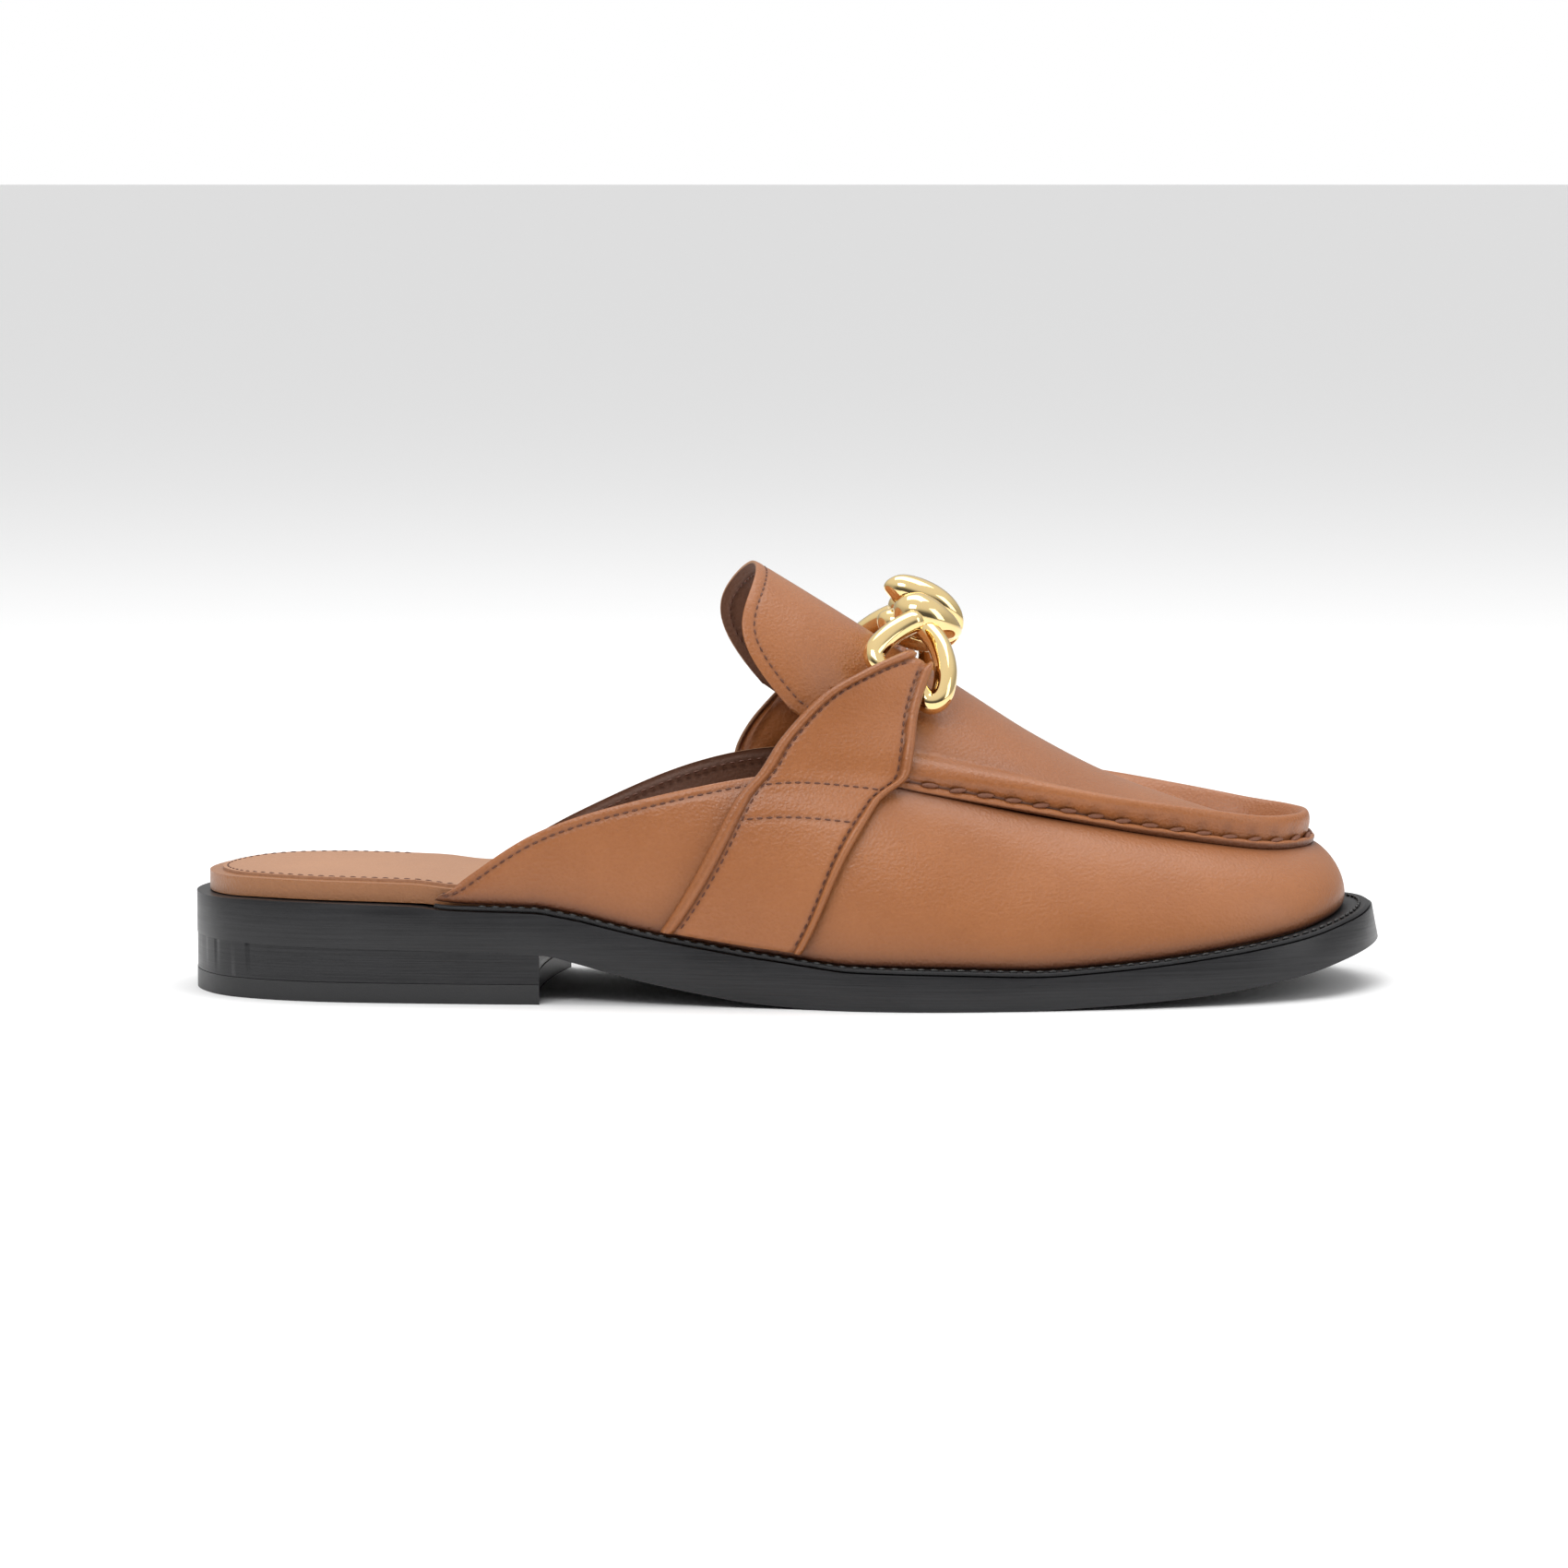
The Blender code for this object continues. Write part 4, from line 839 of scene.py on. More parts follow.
@dataclass
class Sole:
    """Top lift, heel stack, outsole and welt."""

    shop: Workshop
    top_lift: float = 0.0044
    breast_hollow: float = 0.0030
    welt_set_back: float = 0.0005
    toe_lean: float = 0.0014
    edge_round: float = 0.0006

    def across(self, station: float, inset: float, columns: int) -> np.ndarray:
        """Return plan points across the sole from a lateral station to its medial partner."""
        last = self.shop.last
        left = last.sole_edge(station, inset)[0]
        right = last.sole_edge(30.0 - station, inset)[0]
        share = np.linspace(0.0, 1.0, columns + 1)[:, None]
        return left + (right - left) * share

    def slab(self, name: str, first: float, final: float, inset: float, top: Callable, bottom: Callable,
             finish: object, slot: str, replaces: str, breast: bool = False, lean: float = 0.0,
             layers: int = 1) -> None:
        """Make a layer of the sole: a grid over its plan, extruded down and rounded at its edges."""
        last = self.shop.last
        builder = bmesh.new()
        columns = 28

        def column_at(u: float) -> tuple[np.ndarray, np.ndarray]:
            station = first + (final - first) * u
            plan = self.across(station, inset, columns)
            if breast:
                share = np.linspace(-1.0, 1.0, columns + 1)
                plan[:, 0] = plan[:, 0] * (1.0 - u**6) + last.heel_length * u**6
                plan[:, 0] -= self.breast_hollow * (1.0 - share**2) * u**4
            return np.column_stack((plan, top(plan[:, 0]))), np.zeros(1)

        self.shop.sheet(builder, 150, columns, column_at)
        bmesh.ops.remove_doubles(builder, verts=builder.verts, dist=2e-5)
        heights = {}
        for vert in builder.verts:
            heights[vert] = vert.co.copy()
        grown = bmesh.ops.extrude_face_region(builder, geom=list(builder.faces))
        lowered = [item for item in grown["geom"] if isinstance(item, bmesh.types.BMVert)]
        steps, xs, _, _ = last.centre
        for vert in lowered:
            along = float(np.interp(vert.co.x - last.shift.x, xs, steps))
            front = float(ease((along - 0.80 * last.sole_length) / (0.20 * last.sole_length)))
            outward = Vector((vert.co.x - (last.shift.x + 0.62 * last.sole_length), vert.co.y, 0.0)).normalized()
            vert.co.z = float(bottom(along))
            vert.co += outward * lean * front
        bmesh.ops.recalc_face_normals(builder, faces=builder.faces)
        rim = [edge for edge in builder.edges if edge.is_manifold and edge.calc_face_angle() > math.radians(55.0)]
        bmesh.ops.bevel(builder, geom=rim, offset=self.edge_round, segments=3, profile=0.5, affect="EDGES",
                        material=-1, clamp_overlap=True)
        self.shop.piece(name, builder, [finish], slot, [replaces], sharp=60.0)

    def heel_station(self) -> float:
        """Return the lateral station where the breast meets the sole's edge."""
        last = self.shop.last
        station = 0.0
        while last.sole_edge(station)[0][0] < last.heel_length:
            station += 0.01
        return station

    def welt_row(self, station: float, share: float) -> np.ndarray:
        """Return a point on the welt: share 0 at its outer edge, 1 at the upper's foot."""
        last = self.shop.last
        inset = last.lip_row(station)[3]
        point = last.sole_edge(FIRST_LIP + station, self.welt_set_back + (inset - self.welt_set_back) * share)[0]
        return np.array([point[0], point[1], float(last.seat(point[0])) + last.fit + last.welt])

    def make_welt(self) -> None:
        """Make the welt strip with its low outer groove, and sew it."""
        last = self.shop.last
        rows = 10

        def column_at(u: float) -> tuple[np.ndarray, np.ndarray]:
            station = LAST_STATION * u
            points = []
            for row in range(rows + 1):
                share = row / rows
                point = self.welt_row(station, -0.0 + share * 1.35)
                point[2] -= 0.00035 * float(bump_at(share, 0.30, 0.12)) + 0.0007 * float(bump_at(share, 0.0, 0.06))
                points.append(point)
            return np.array(points), np.zeros(1)

        builder = bmesh.new()
        self.shop.sheet(builder, 330, rows, column_at)
        self.shop.face_outward(builder, Vector((0.13, 0.0, 1.0)))
        item = self.shop.piece("welt_strip", builder, [BLACK_WELT], "black_welt", ["welt"])
        self.shop.thicken(item, last.welt, Rim.COVERED, 0)
        stations = np.linspace(0.4, LAST_STATION - 0.4, 420)
        path = last.place(np.array([self.welt_row(s, 0.42) for s in stations]))
        self.shop.stitches("welt_stitches", path, np.tile(UP, (len(path), 1)), 0.0029, (0.0020, 0.0008, 0.0008),
                           BLACK_THREAD, "black_welt", sunk=0.45)

    def make(self) -> None:
        """Make the whole sole."""
        last = self.shop.last
        station = self.heel_station()
        self.slab("top_lift_block", 0.0, station, 0.0, lambda x: np.full(np.shape(x), self.top_lift),
                  lambda x: 0.0, BLACK_LIFT, "black_lift", "top_lift", breast=True)
        self.slab("heel_stack", 0.0, station, 0.0001, lambda x: last.underside(x) + 0.0002,
                  lambda x: self.top_lift + 0.0001, BLACK_HEEL, "black_heel", "heel_block", breast=True)
        self.slab("outsole_leather", 0.0, float(TOE_STATION), 0.0, last.seat, last.underside, BLACK_SOLE,
                  "black_sole", "outsole", lean=self.toe_lean)
        self.make_welt()


@dataclass
class Footbed:
    """The wrapped footbed and the sock stitched on it."""

    shop: Workshop
    set_back: float = 0.0030
    rim: float = 0.0024
    sock: float = 0.0006
    sock_set_back: float = 0.0030
    blend: float = 1.5

    def inset(self, station: float) -> float:
        """Return how far the footbed's side lies inside the sole's edge."""
        last = self.shop.last
        lateral = station - FIRST_LIP
        medial = station - FIRST_LIP - LAST_STATION
        if lateral < 0.0 or medial > 0.0:
            outside = min(abs(lateral), abs(medial), abs(30.0 - station + FIRST_LIP))
            share = float(ease(min(outside / self.blend, 1.0)))
            near_end = last.lip_row(0.0)[3] + last.wall + last.fit
            return near_end + (self.set_back - near_end) * share
        return last.lip_row(lateral)[3] + last.wall + last.fit

    def top(self, along: np.ndarray | float) -> np.ndarray:
        """Height of the footbed's upper face."""
        last = self.shop.last
        return last.seat(along) + last.fit + last.level(FOOTBED_THICKNESS, last.footbed, along)

    def rung(self, station: float, extra: float, columns: int) -> np.ndarray:
        """Return plan points across the footbed."""
        last = self.shop.last
        left = last.sole_edge(station, self.inset(station) + extra)[0]
        right = last.sole_edge(30.0 - station, self.inset(30.0 - station) + extra)[0]
        share = np.linspace(0.0, 1.0, columns + 1)[:, None]
        return left + (right - left) * share

    def make(self) -> None:
        """Make the footbed, the sock and the row that holds it."""
        last = self.shop.last
        for name, extra, lift, drop, rim, finish, slot, node in (
            ("footbed_cushion", 0.0, 0.0, None, self.rim, FOOTBED_TAN, "footbed_leather", "insole"),
            ("sock", self.rim * 0.6 + self.sock_set_back * 0.5, 0.0007, 0.0009, 0.0003, SOCK_TAN, "sock_leather",
             "sock_lining"),
        ):
            builder = bmesh.new()
            columns = 26

            def column_at(u: float) -> tuple[np.ndarray, np.ndarray]:
                plan = self.rung(TOE_STATION * u, extra, columns)
                height = self.top(plan[:, 0]) + lift
                return np.column_stack((plan, height)), np.zeros(1)

            self.shop.sheet(builder, 150, columns, column_at)
            bmesh.ops.remove_doubles(builder, verts=builder.verts, dist=2e-5)
            grown = bmesh.ops.extrude_face_region(builder, geom=list(builder.faces))
            steps, xs, _, _ = last.centre
            for item in grown["geom"]:
                if isinstance(item, bmesh.types.BMVert):
                    along = float(np.interp(item.co.x - last.shift.x, xs, steps))
                    item.co.z = item.co.z - drop if drop else float(last.seat(along)) + last.fit
            bmesh.ops.recalc_face_normals(builder, faces=builder.faces)
            edges = [edge for edge in builder.edges if edge.is_manifold
                     and edge.calc_face_angle() > math.radians(55.0)
                     and all(face.normal.z > -0.5 for face in edge.link_faces)]
            bmesh.ops.bevel(builder, geom=edges, offset=rim, segments=5, profile=0.5, affect="EDGES", material=-1,
                            clamp_overlap=True)
            self.shop.piece(name, builder, [finish], slot, [node], sharp=60.0)
        stations = np.concatenate((np.linspace(26.5, 30.0, 120, endpoint=False), np.linspace(0.0, 4.5, 160)))
        extra = self.rim * 0.6 + self.sock_set_back * 0.5 + 0.0011
        row = []
        for station in stations:
            plan = last.sole_edge(station, self.inset(station) + extra)[0]
            row.append((plan[0], plan[1], float(self.top(plan[0])) + 0.0007))
        path = last.place(np.array(row))
        self.shop.stitches("sock_stitches", path, np.tile(UP, (len(path), 1)), 0.0024, (0.0015, 0.00045, 0.00045),
                           BROWN_THREAD, "sock_leather", sunk=0.5)


@dataclass
class Upper:
    """Wall round the forepart, rolled apron seam, plug and tongue."""

    shop: Workshop
    per_station: int = 12
    wall_rows: int = 46
    row_inset: float = 0.0021
    groove_depth: float = 0.00022
    stitch_pitch: float = 0.0064
    tongue_wall: float = 0.0018
    ridge_slope: float = math.radians(31.6)
    tongue_skew: float = 0.0015
    tongue_length: float = 0.0352
    tongue_radius_tip: float = 0.0245
    tongue_radius_base: float = 0.0270
    tongue_half_angle: float = math.radians(85.0)
    tongue_corner: float = 0.0200
    tongue_corner_power: float = 8.0
    tongue_free_share: float = 0.35
    tongue_row_inset: float = 0.0027
    tongue_rows: int = 56
    plug_columns: int = 56
    plug_hollow: float = 0.0034
    thread: tuple[float, float, float] = (0.0014, 0.00048, 0.00050)
    thread_pitch: float = 0.0021

    def __post_init__(self) -> None:
        """Measure the run of the apron seam and lay out the tongue."""
        last = self.shop.last
        stations = np.linspace(0.0, LAST_STATION, 441)
        points = np.array([last.lip_row(s)[:3] for s in stations])
        gaps = np.linalg.norm(np.diff(points, axis=0), axis=1)
        self.lip_run = (stations, np.concatenate(([0.0], np.cumsum(gaps))))
        shares = np.linspace(0.0, 1.0, self.plug_columns + 1)
        self.shares = shares - 0.06 * np.sin(2.0 * math.pi * shares)
        self.tongue, self.tongue_away, self.tongue_normals = self.lay_tongue()

    def run(self, station: float) -> float:
        """Return the distance along the upper's edge at a station."""
        return float(np.interp(station, *self.lip_run))

    def rolled(self, station: float) -> float:
        """Return 1 where the apron seam is rolled and 0 on the quarters, eased between."""
        return float(ease((station - FIRST_ROLL + 0.4) / 0.8) * ease((LAST_ROLL + 0.4 - station) / 0.8))

    def wall_column(self, station: float, shares: np.ndarray) -> tuple[np.ndarray, np.ndarray]:
        """Return the wall's points up one station and their painted shading, with seams and soft folds."""
        last = self.shop.last
        points = last.wall_points(station, shares)
        normals = last.wall_normals(station, shares)
        gaps = np.linalg.norm(np.diff(points, axis=0), axis=1)
        climb = np.concatenate(([0.0], np.cumsum(gaps)))
        down = climb[-1] - climb
        rolled = self.rolled(station)
        groove = bump_at(down, self.row_inset, 0.0006) * (1.0 - rolled)
        edge_round = np.exp(-down / 0.0006) * (1.0 - rolled)
        fold = 0.0
        for centre, place, width, height, depth in (
            (6.05, 0.78, 0.55, 0.30, 0.0008), (7.3, 0.50, 0.80, 0.34, 0.0005), (5.5, 0.42, 0.35, 0.30, 0.0006),
            (15.9, 0.78, 0.55, 0.30, 0.0008), (14.6, 0.50, 0.80, 0.34, 0.0005), (16.4, 0.42, 0.35, 0.30, 0.0006),
        ):
            fold = fold + depth * bump_at(station + 0.5 * (shares - place), centre, width) * bump_at(shares, place, height)
        pull = 0.0005 * np.exp(-climb / 0.0012)
        depth = groove * self.groove_depth + edge_round * 0.0003 + fold + pull
        points = points - normals * depth[:, None]
        # Painted shading just above the welt, where the wall meets it, and in the topline's stitch groove.
        shade = 0.85 * np.exp(-climb / 0.0013) + 0.30 * np.exp(-climb / 0.006) + 0.28 * groove
        # Painted shadow along the top of the wall under the rolled seam's lip.
        shade = shade + rolled * (0.75 * np.exp(-down / 0.0011) + 0.2 * np.exp(-down / 0.004))
        return points, shade

    def wall_shares(self) -> np.ndarray:
        """Return the rows of the wall, closer together near both edges."""
        v = np.linspace(0.0, 1.0, self.wall_rows + 1)
        return v - 0.13 * np.sin(2.0 * math.pi * v)

    def make_wall(self) -> None:
        """Make the wall of the vamp and the quarters."""
        last = self.shop.last
        shares = self.wall_shares()
        builder = bmesh.new()
        self.shop.sheet(builder, LAST_STATION * self.per_station, self.wall_rows,
                        lambda u: self.wall_column(LAST_STATION * u, shares))
        self.shop.face_outward(builder, Vector((0.0, -0.5, 0.05)))
        item = self.shop.piece("vamp_and_quarters", builder, [TAN, LINING, CUT_EDGE], "tan_leather", ["upper"])
        self.shop.thicken(item, last.wall, Rim.CUT)

    def roll_point(self, station: float, chord: float, out: float) -> np.ndarray:
        """Return one point of the rolled seam's section."""
        start, way, lean = self.shop.last.roll_frame(station)
        return start + way * chord + lean * out

    def pinch(self, station: float) -> float:
        """Return 1 where a hand stitch goes into the leather and 0 half way between."""
        turn = 2.0 * math.pi * self.run(station) / self.stitch_pitch
        return float((0.5 + 0.5 * math.cos(turn)) ** 2)

    def roll_column(self, station: float, rows: int) -> tuple[np.ndarray, np.ndarray]:
        """Return the rolled seam's section at a station and its painted shading."""
        section = np.array(ROLL_SECTION)
        pinch = self.pinch(station)
        gather = math.sin(2.0 * math.pi * self.run(station) / 0.0031) * math.sin(2.0 * math.pi * self.run(station) / 0.0173)
        toe = float(ease((station - 7.0) / 2.0) * ease((15.0 - station) / 2.0))
        points = []
        painted_shades = []
        for row in range(rows + 1):
            place = row / rows * (len(section) - 1)
            chord, out = spline(section, place, closed=False)
            out -= pinch * (0.07 * bump_at(chord, 0.29, 0.05) + 0.05 * bump_at(chord, 0.11, 0.05))
            out += gather * toe * 0.045 * float(bump_at(chord, 0.93, 0.08))
            point = self.roll_point(station, float(chord), float(out))
            points.append(point - UP * self.hollow(station) * float(ease((chord - 0.60) / 0.40)))
            # Painted shading in the valley behind the lip, at the lip's foot, at each stitch pinch and in the hollow
            # near the toe.
            valley = 0.95 * bump_at(chord, 0.205, 0.035) + 0.75 * bump_at(chord, 0.0, 0.02)
            painted_shades.append(valley + 0.30 * pinch * bump_at(chord, 0.28, 0.05) + 0.65 * toe * bump_at(chord, 1.0, 0.10))
        return np.array(points), np.array(painted_shades)

    def tongue_point(self, angle: float, share: float) -> np.ndarray:
        """Return a point of the tongue: angle round its ridge, share 0 at the tip and 1 at the plug."""
        last = self.shop.last
        turn = abs(angle) / self.tongue_half_angle
        tip = self.tongue_corner * turn ** self.tongue_corner_power - self.tongue_skew * math.sin(angle)
        down = tip + (self.tongue_length - tip) * share
        radius = self.tongue_radius_tip
        radius += (self.tongue_radius_base - self.tongue_radius_tip) * down / self.tongue_length
        slope = self.ridge_slope
        start = 0.474 * last.sole_length
        ridge = np.array([start + math.cos(slope) * down, 0.0, last.instep_height - math.sin(slope) * down])
        drop = radius * (1.0 - math.cos(angle))
        return ridge + np.array([-math.sin(slope) * drop, radius * math.sin(angle), -math.cos(slope) * drop])

    def tongue_row(self, share: float, shares: np.ndarray, seam: np.ndarray) -> np.ndarray:
        """Return the tongue's points across at a share from its tip to the plug."""
        angles = self.tongue_half_angle * (2.0 * shares - 1.0)
        blend = float(ease(max(0.0, (share - self.tongue_free_share) / (1.0 - self.tongue_free_share))))
        points = []
        for angle, seam_point in zip(angles, seam):
            shift = (seam_point - self.tongue_point(angle, 1.0)) * blend
            points.append(self.tongue_point(angle, share) + shift)
        return np.array(points)

    def lay_tongue(self) -> tuple[np.ndarray, np.ndarray, np.ndarray]:
        """Return the tongue's points row by row, how far each lies from the free edge, and normals."""
        seam = self.shop.last.plug_rung(float(FIRST_ROLL), self.shares)
        rows = np.array([self.tongue_row((index / self.tongue_rows) ** 1.15, self.shares, seam)
                         for index in range(self.tongue_rows + 1)])
        border = np.concatenate((rows[::-1, 0], rows[0], rows[:, -1]))
        fine = np.concatenate([border[:-1] + (border[1:] - border[:-1]) * share for share in (0.0, 0.25, 0.5, 0.75)])
        away = np.array([np.linalg.norm(row[:, None] - fine[None], axis=2).min(axis=1) for row in rows])
        normals = unit(np.cross(np.gradient(rows, axis=0), np.gradient(rows, axis=1)))
        if normals[self.tongue_rows // 2, self.plug_columns // 2, 2] < 0.0:
            normals = -normals
        return rows, away, normals

    def along_tongue_edge(self, inset: float) -> tuple[np.ndarray, np.ndarray]:
        """Return the line on the tongue that keeps a distance to its free edge, with normals."""
        heart = np.array([0.55 * self.tongue_rows, 0.5 * self.plug_columns])
        corner = math.atan2(heart[1], heart[0] - self.tongue_rows)
        line = []
        for angle in np.linspace(-corner, corner, 400):
            way = np.array([-math.cos(angle), math.sin(angle)])
            reach = min(limit / abs(part) for limit, part in (
                (heart[0] if way[0] < 0.0 else self.tongue_rows - heart[0], way[0]), (heart[1], way[1])) if part)
            track = heart + way * np.linspace(0.0, reach, 160)[:, None]
            away = np.array([self.blend(self.tongue_away, place) for place in track])
            beyond = np.nonzero((away[:-1] >= inset) & (away[1:] < inset))[0]
            if len(beyond):
                first = beyond[-1]
                share = (away[first] - inset) / (away[first] - away[first + 1])
                line.append(track[first] + (track[first + 1] - track[first]) * share)
        points = np.array([self.blend(self.tongue, place) for place in line])
        return points, unit(np.array([self.blend(self.tongue_normals, place) for place in line]))

    @staticmethod
    def blend(grid: np.ndarray, place: np.ndarray) -> np.ndarray:
        """Return a grid's value between its rows and columns."""
        row, column = (min(max(int(part), 0), size - 2) for part, size in zip(place, grid.shape))
        down, over = place[0] - row, place[1] - column
        upper = grid[row, column] * (1.0 - over) + grid[row, column + 1] * over
        lower = grid[row + 1, column] * (1.0 - over) + grid[row + 1, column + 1] * over
        return upper * (1.0 - down) + lower * down

    def hollow(self, station: float) -> float:
        """Return how deep the plug lies below the rolled seam at a station."""
        return self.plug_hollow * float(ease((min(station, LAST_STATION - station) - 5.0) / 4.5))

    def make_apron(self) -> None:
        """Make the rolled seam, the plug and the tongue as one skin."""
        last = self.shop.last
        builder = bmesh.new()
        span = LAST_ROLL - FIRST_ROLL
        rows = 44
        self.shop.sheet(builder, span * self.per_station * 2, rows,
                        lambda u: self.roll_column(FIRST_ROLL + span * u, rows))
        middle = LAST_STATION / 2.0
        plug_rows = int((middle - FIRST_ROLL) * self.per_station * 2)
        tongue_rows = self.tongue_rows
        rows_made: dict[int, tuple[np.ndarray, np.ndarray]] = {}

        def row_points(index: int) -> tuple[np.ndarray, np.ndarray]:
            if index < tongue_rows:
                away = self.tongue_away[index]
                groove = bump_at(away, self.tongue_row_inset, 0.0004)
                sink = groove * self.groove_depth + np.exp(-away / 0.0005) * 0.00025
                # Painted shading in the stitch groove along the tongue's edge.
                return self.tongue[index] - self.tongue_normals[index] * sink[:, None], 0.3 * groove
            station = FIRST_ROLL + (index - tongue_rows) / (self.per_station * 2)
            points = last.plug_rung(station, self.shares)
            edge = np.minimum(np.linalg.norm(points - points[0], axis=1), np.linalg.norm(points - points[-1], axis=1))
            toe = float(ease((station - 7.0) / 3.0))
            gather = math.sin(2.0 * math.pi * self.run(station) / 0.0031)
            gather *= math.sin(2.0 * math.pi * self.run(station) / 0.0173)
            sink = gather * toe * 0.00030 * np.exp(-((edge - 0.0015) / 0.0022) ** 2) * ease(edge / 0.0008)
            sink = sink + self.hollow(station) * np.exp(-((edge / 0.0105) ** 2))
            # Painted shading in the sunk hollow near the toe and along the plug's edge beside the rolled seam.
            shade = 0.65 * toe * np.exp(-edge / 0.006) + 0.15 * np.exp(-edge / 0.004)
            return points - UP * sink[:, None], shade

        def column_at(u: float) -> tuple[np.ndarray, np.ndarray]:
            index = round(u * (tongue_rows + plug_rows))
            if index not in rows_made:
                rows_made[index] = row_points(index)
            return rows_made[index]

        self.shop.sheet(builder, tongue_rows + plug_rows, self.plug_columns, column_at)
        bmesh.ops.remove_doubles(builder, verts=builder.verts, dist=3e-5)
        bmesh.ops.dissolve_degenerate(builder, edges=builder.edges, dist=1e-6)
        self.shop.face_outward(builder, Vector((0.05, 0.0, 0.5)))
        item = self.shop.piece("apron_and_tongue", builder, [TAN, LINING, CUT_EDGE], "tan_leather", ["tongue"])
        self.shop.thicken(item, self.tongue_wall, Rim.CUT)

    def sew(self) -> None:
        """Sew the topline, the tongue's edge and the hand-stitched apron seam."""
        last = self.shop.last
        for name, low, high in (("quarter_stitches_lateral", 0.02, FIRST_ROLL - 0.35),
                                ("quarter_stitches_medial", LAST_ROLL + 0.35, LAST_STATION - 0.02)):
            path = []
            normals = []
            for station in np.linspace(low, high, 160):
                shares = np.linspace(0.0, 1.0, 60)
                points = last.wall_points(station, shares)
                climb = np.concatenate(([0.0], np.cumsum(np.linalg.norm(np.diff(points, axis=0), axis=1))))
                share = float(np.interp(climb[-1] - self.row_inset, climb, shares))
                normal = last.wall_normals(station, np.array([share]))[0]
                path.append(last.wall_points(station, np.array([share]))[0] - normal * self.groove_depth)
                normals.append(normal)
            self.sew_through(name, np.array(path), np.array(normals), last.wall)
        points, normals = self.along_tongue_edge(self.tongue_row_inset)
        self.sew_through("tongue_stitches", points - normals * self.groove_depth, normals, self.tongue_wall)
        self.sew_apron()

    def sew_through(self, name: str, path: np.ndarray, normals: np.ndarray, wall: float) -> None:
        """Sew a row that shows on the face and on the lining."""
        last = self.shop.last
        builder = bmesh.new()
        for depth, way in ((0.0, 1.0), (wall + 0.0001 - self.groove_depth, -1.0)):
            self.shop.stitches("", last.place(path - normals * depth), normals * way, self.thread_pitch, self.thread,
                               BROWN_THREAD, "tan_leather", sunk=0.45, joined=builder)
        self.shop.piece(name, builder, [BROWN_THREAD], "tan_leather", sharp=180.0)

    def sew_apron(self) -> None:
        """Lay the thick hand stitches over the seam's lip, one for each pinch."""
        last = self.shop.last
        path = []
        normals = []
        for station in np.linspace(FIRST_ROLL + 0.05, LAST_ROLL - 0.05, 500):
            path.append(self.roll_point(station, 0.195, 0.22))
            start, way, lean = last.roll_frame(station)
            outward = -last.inward(station)
            normals.append(unit(outward + 0.35 * UP))
        placed = last.place(np.array(path))
        self.shop.stitches("apron_hand_stitches", placed, np.array(normals), self.stitch_pitch,
                           (0.0042, 0.0013, 0.0013), HAND_THREAD, "tan_leather", sunk=0.30, slant=0.20, wander=0.4)

    def make(self) -> None:
        """Make the upper and sew it."""
        self.make_wall()
        self.make_apron()
        self.sew()


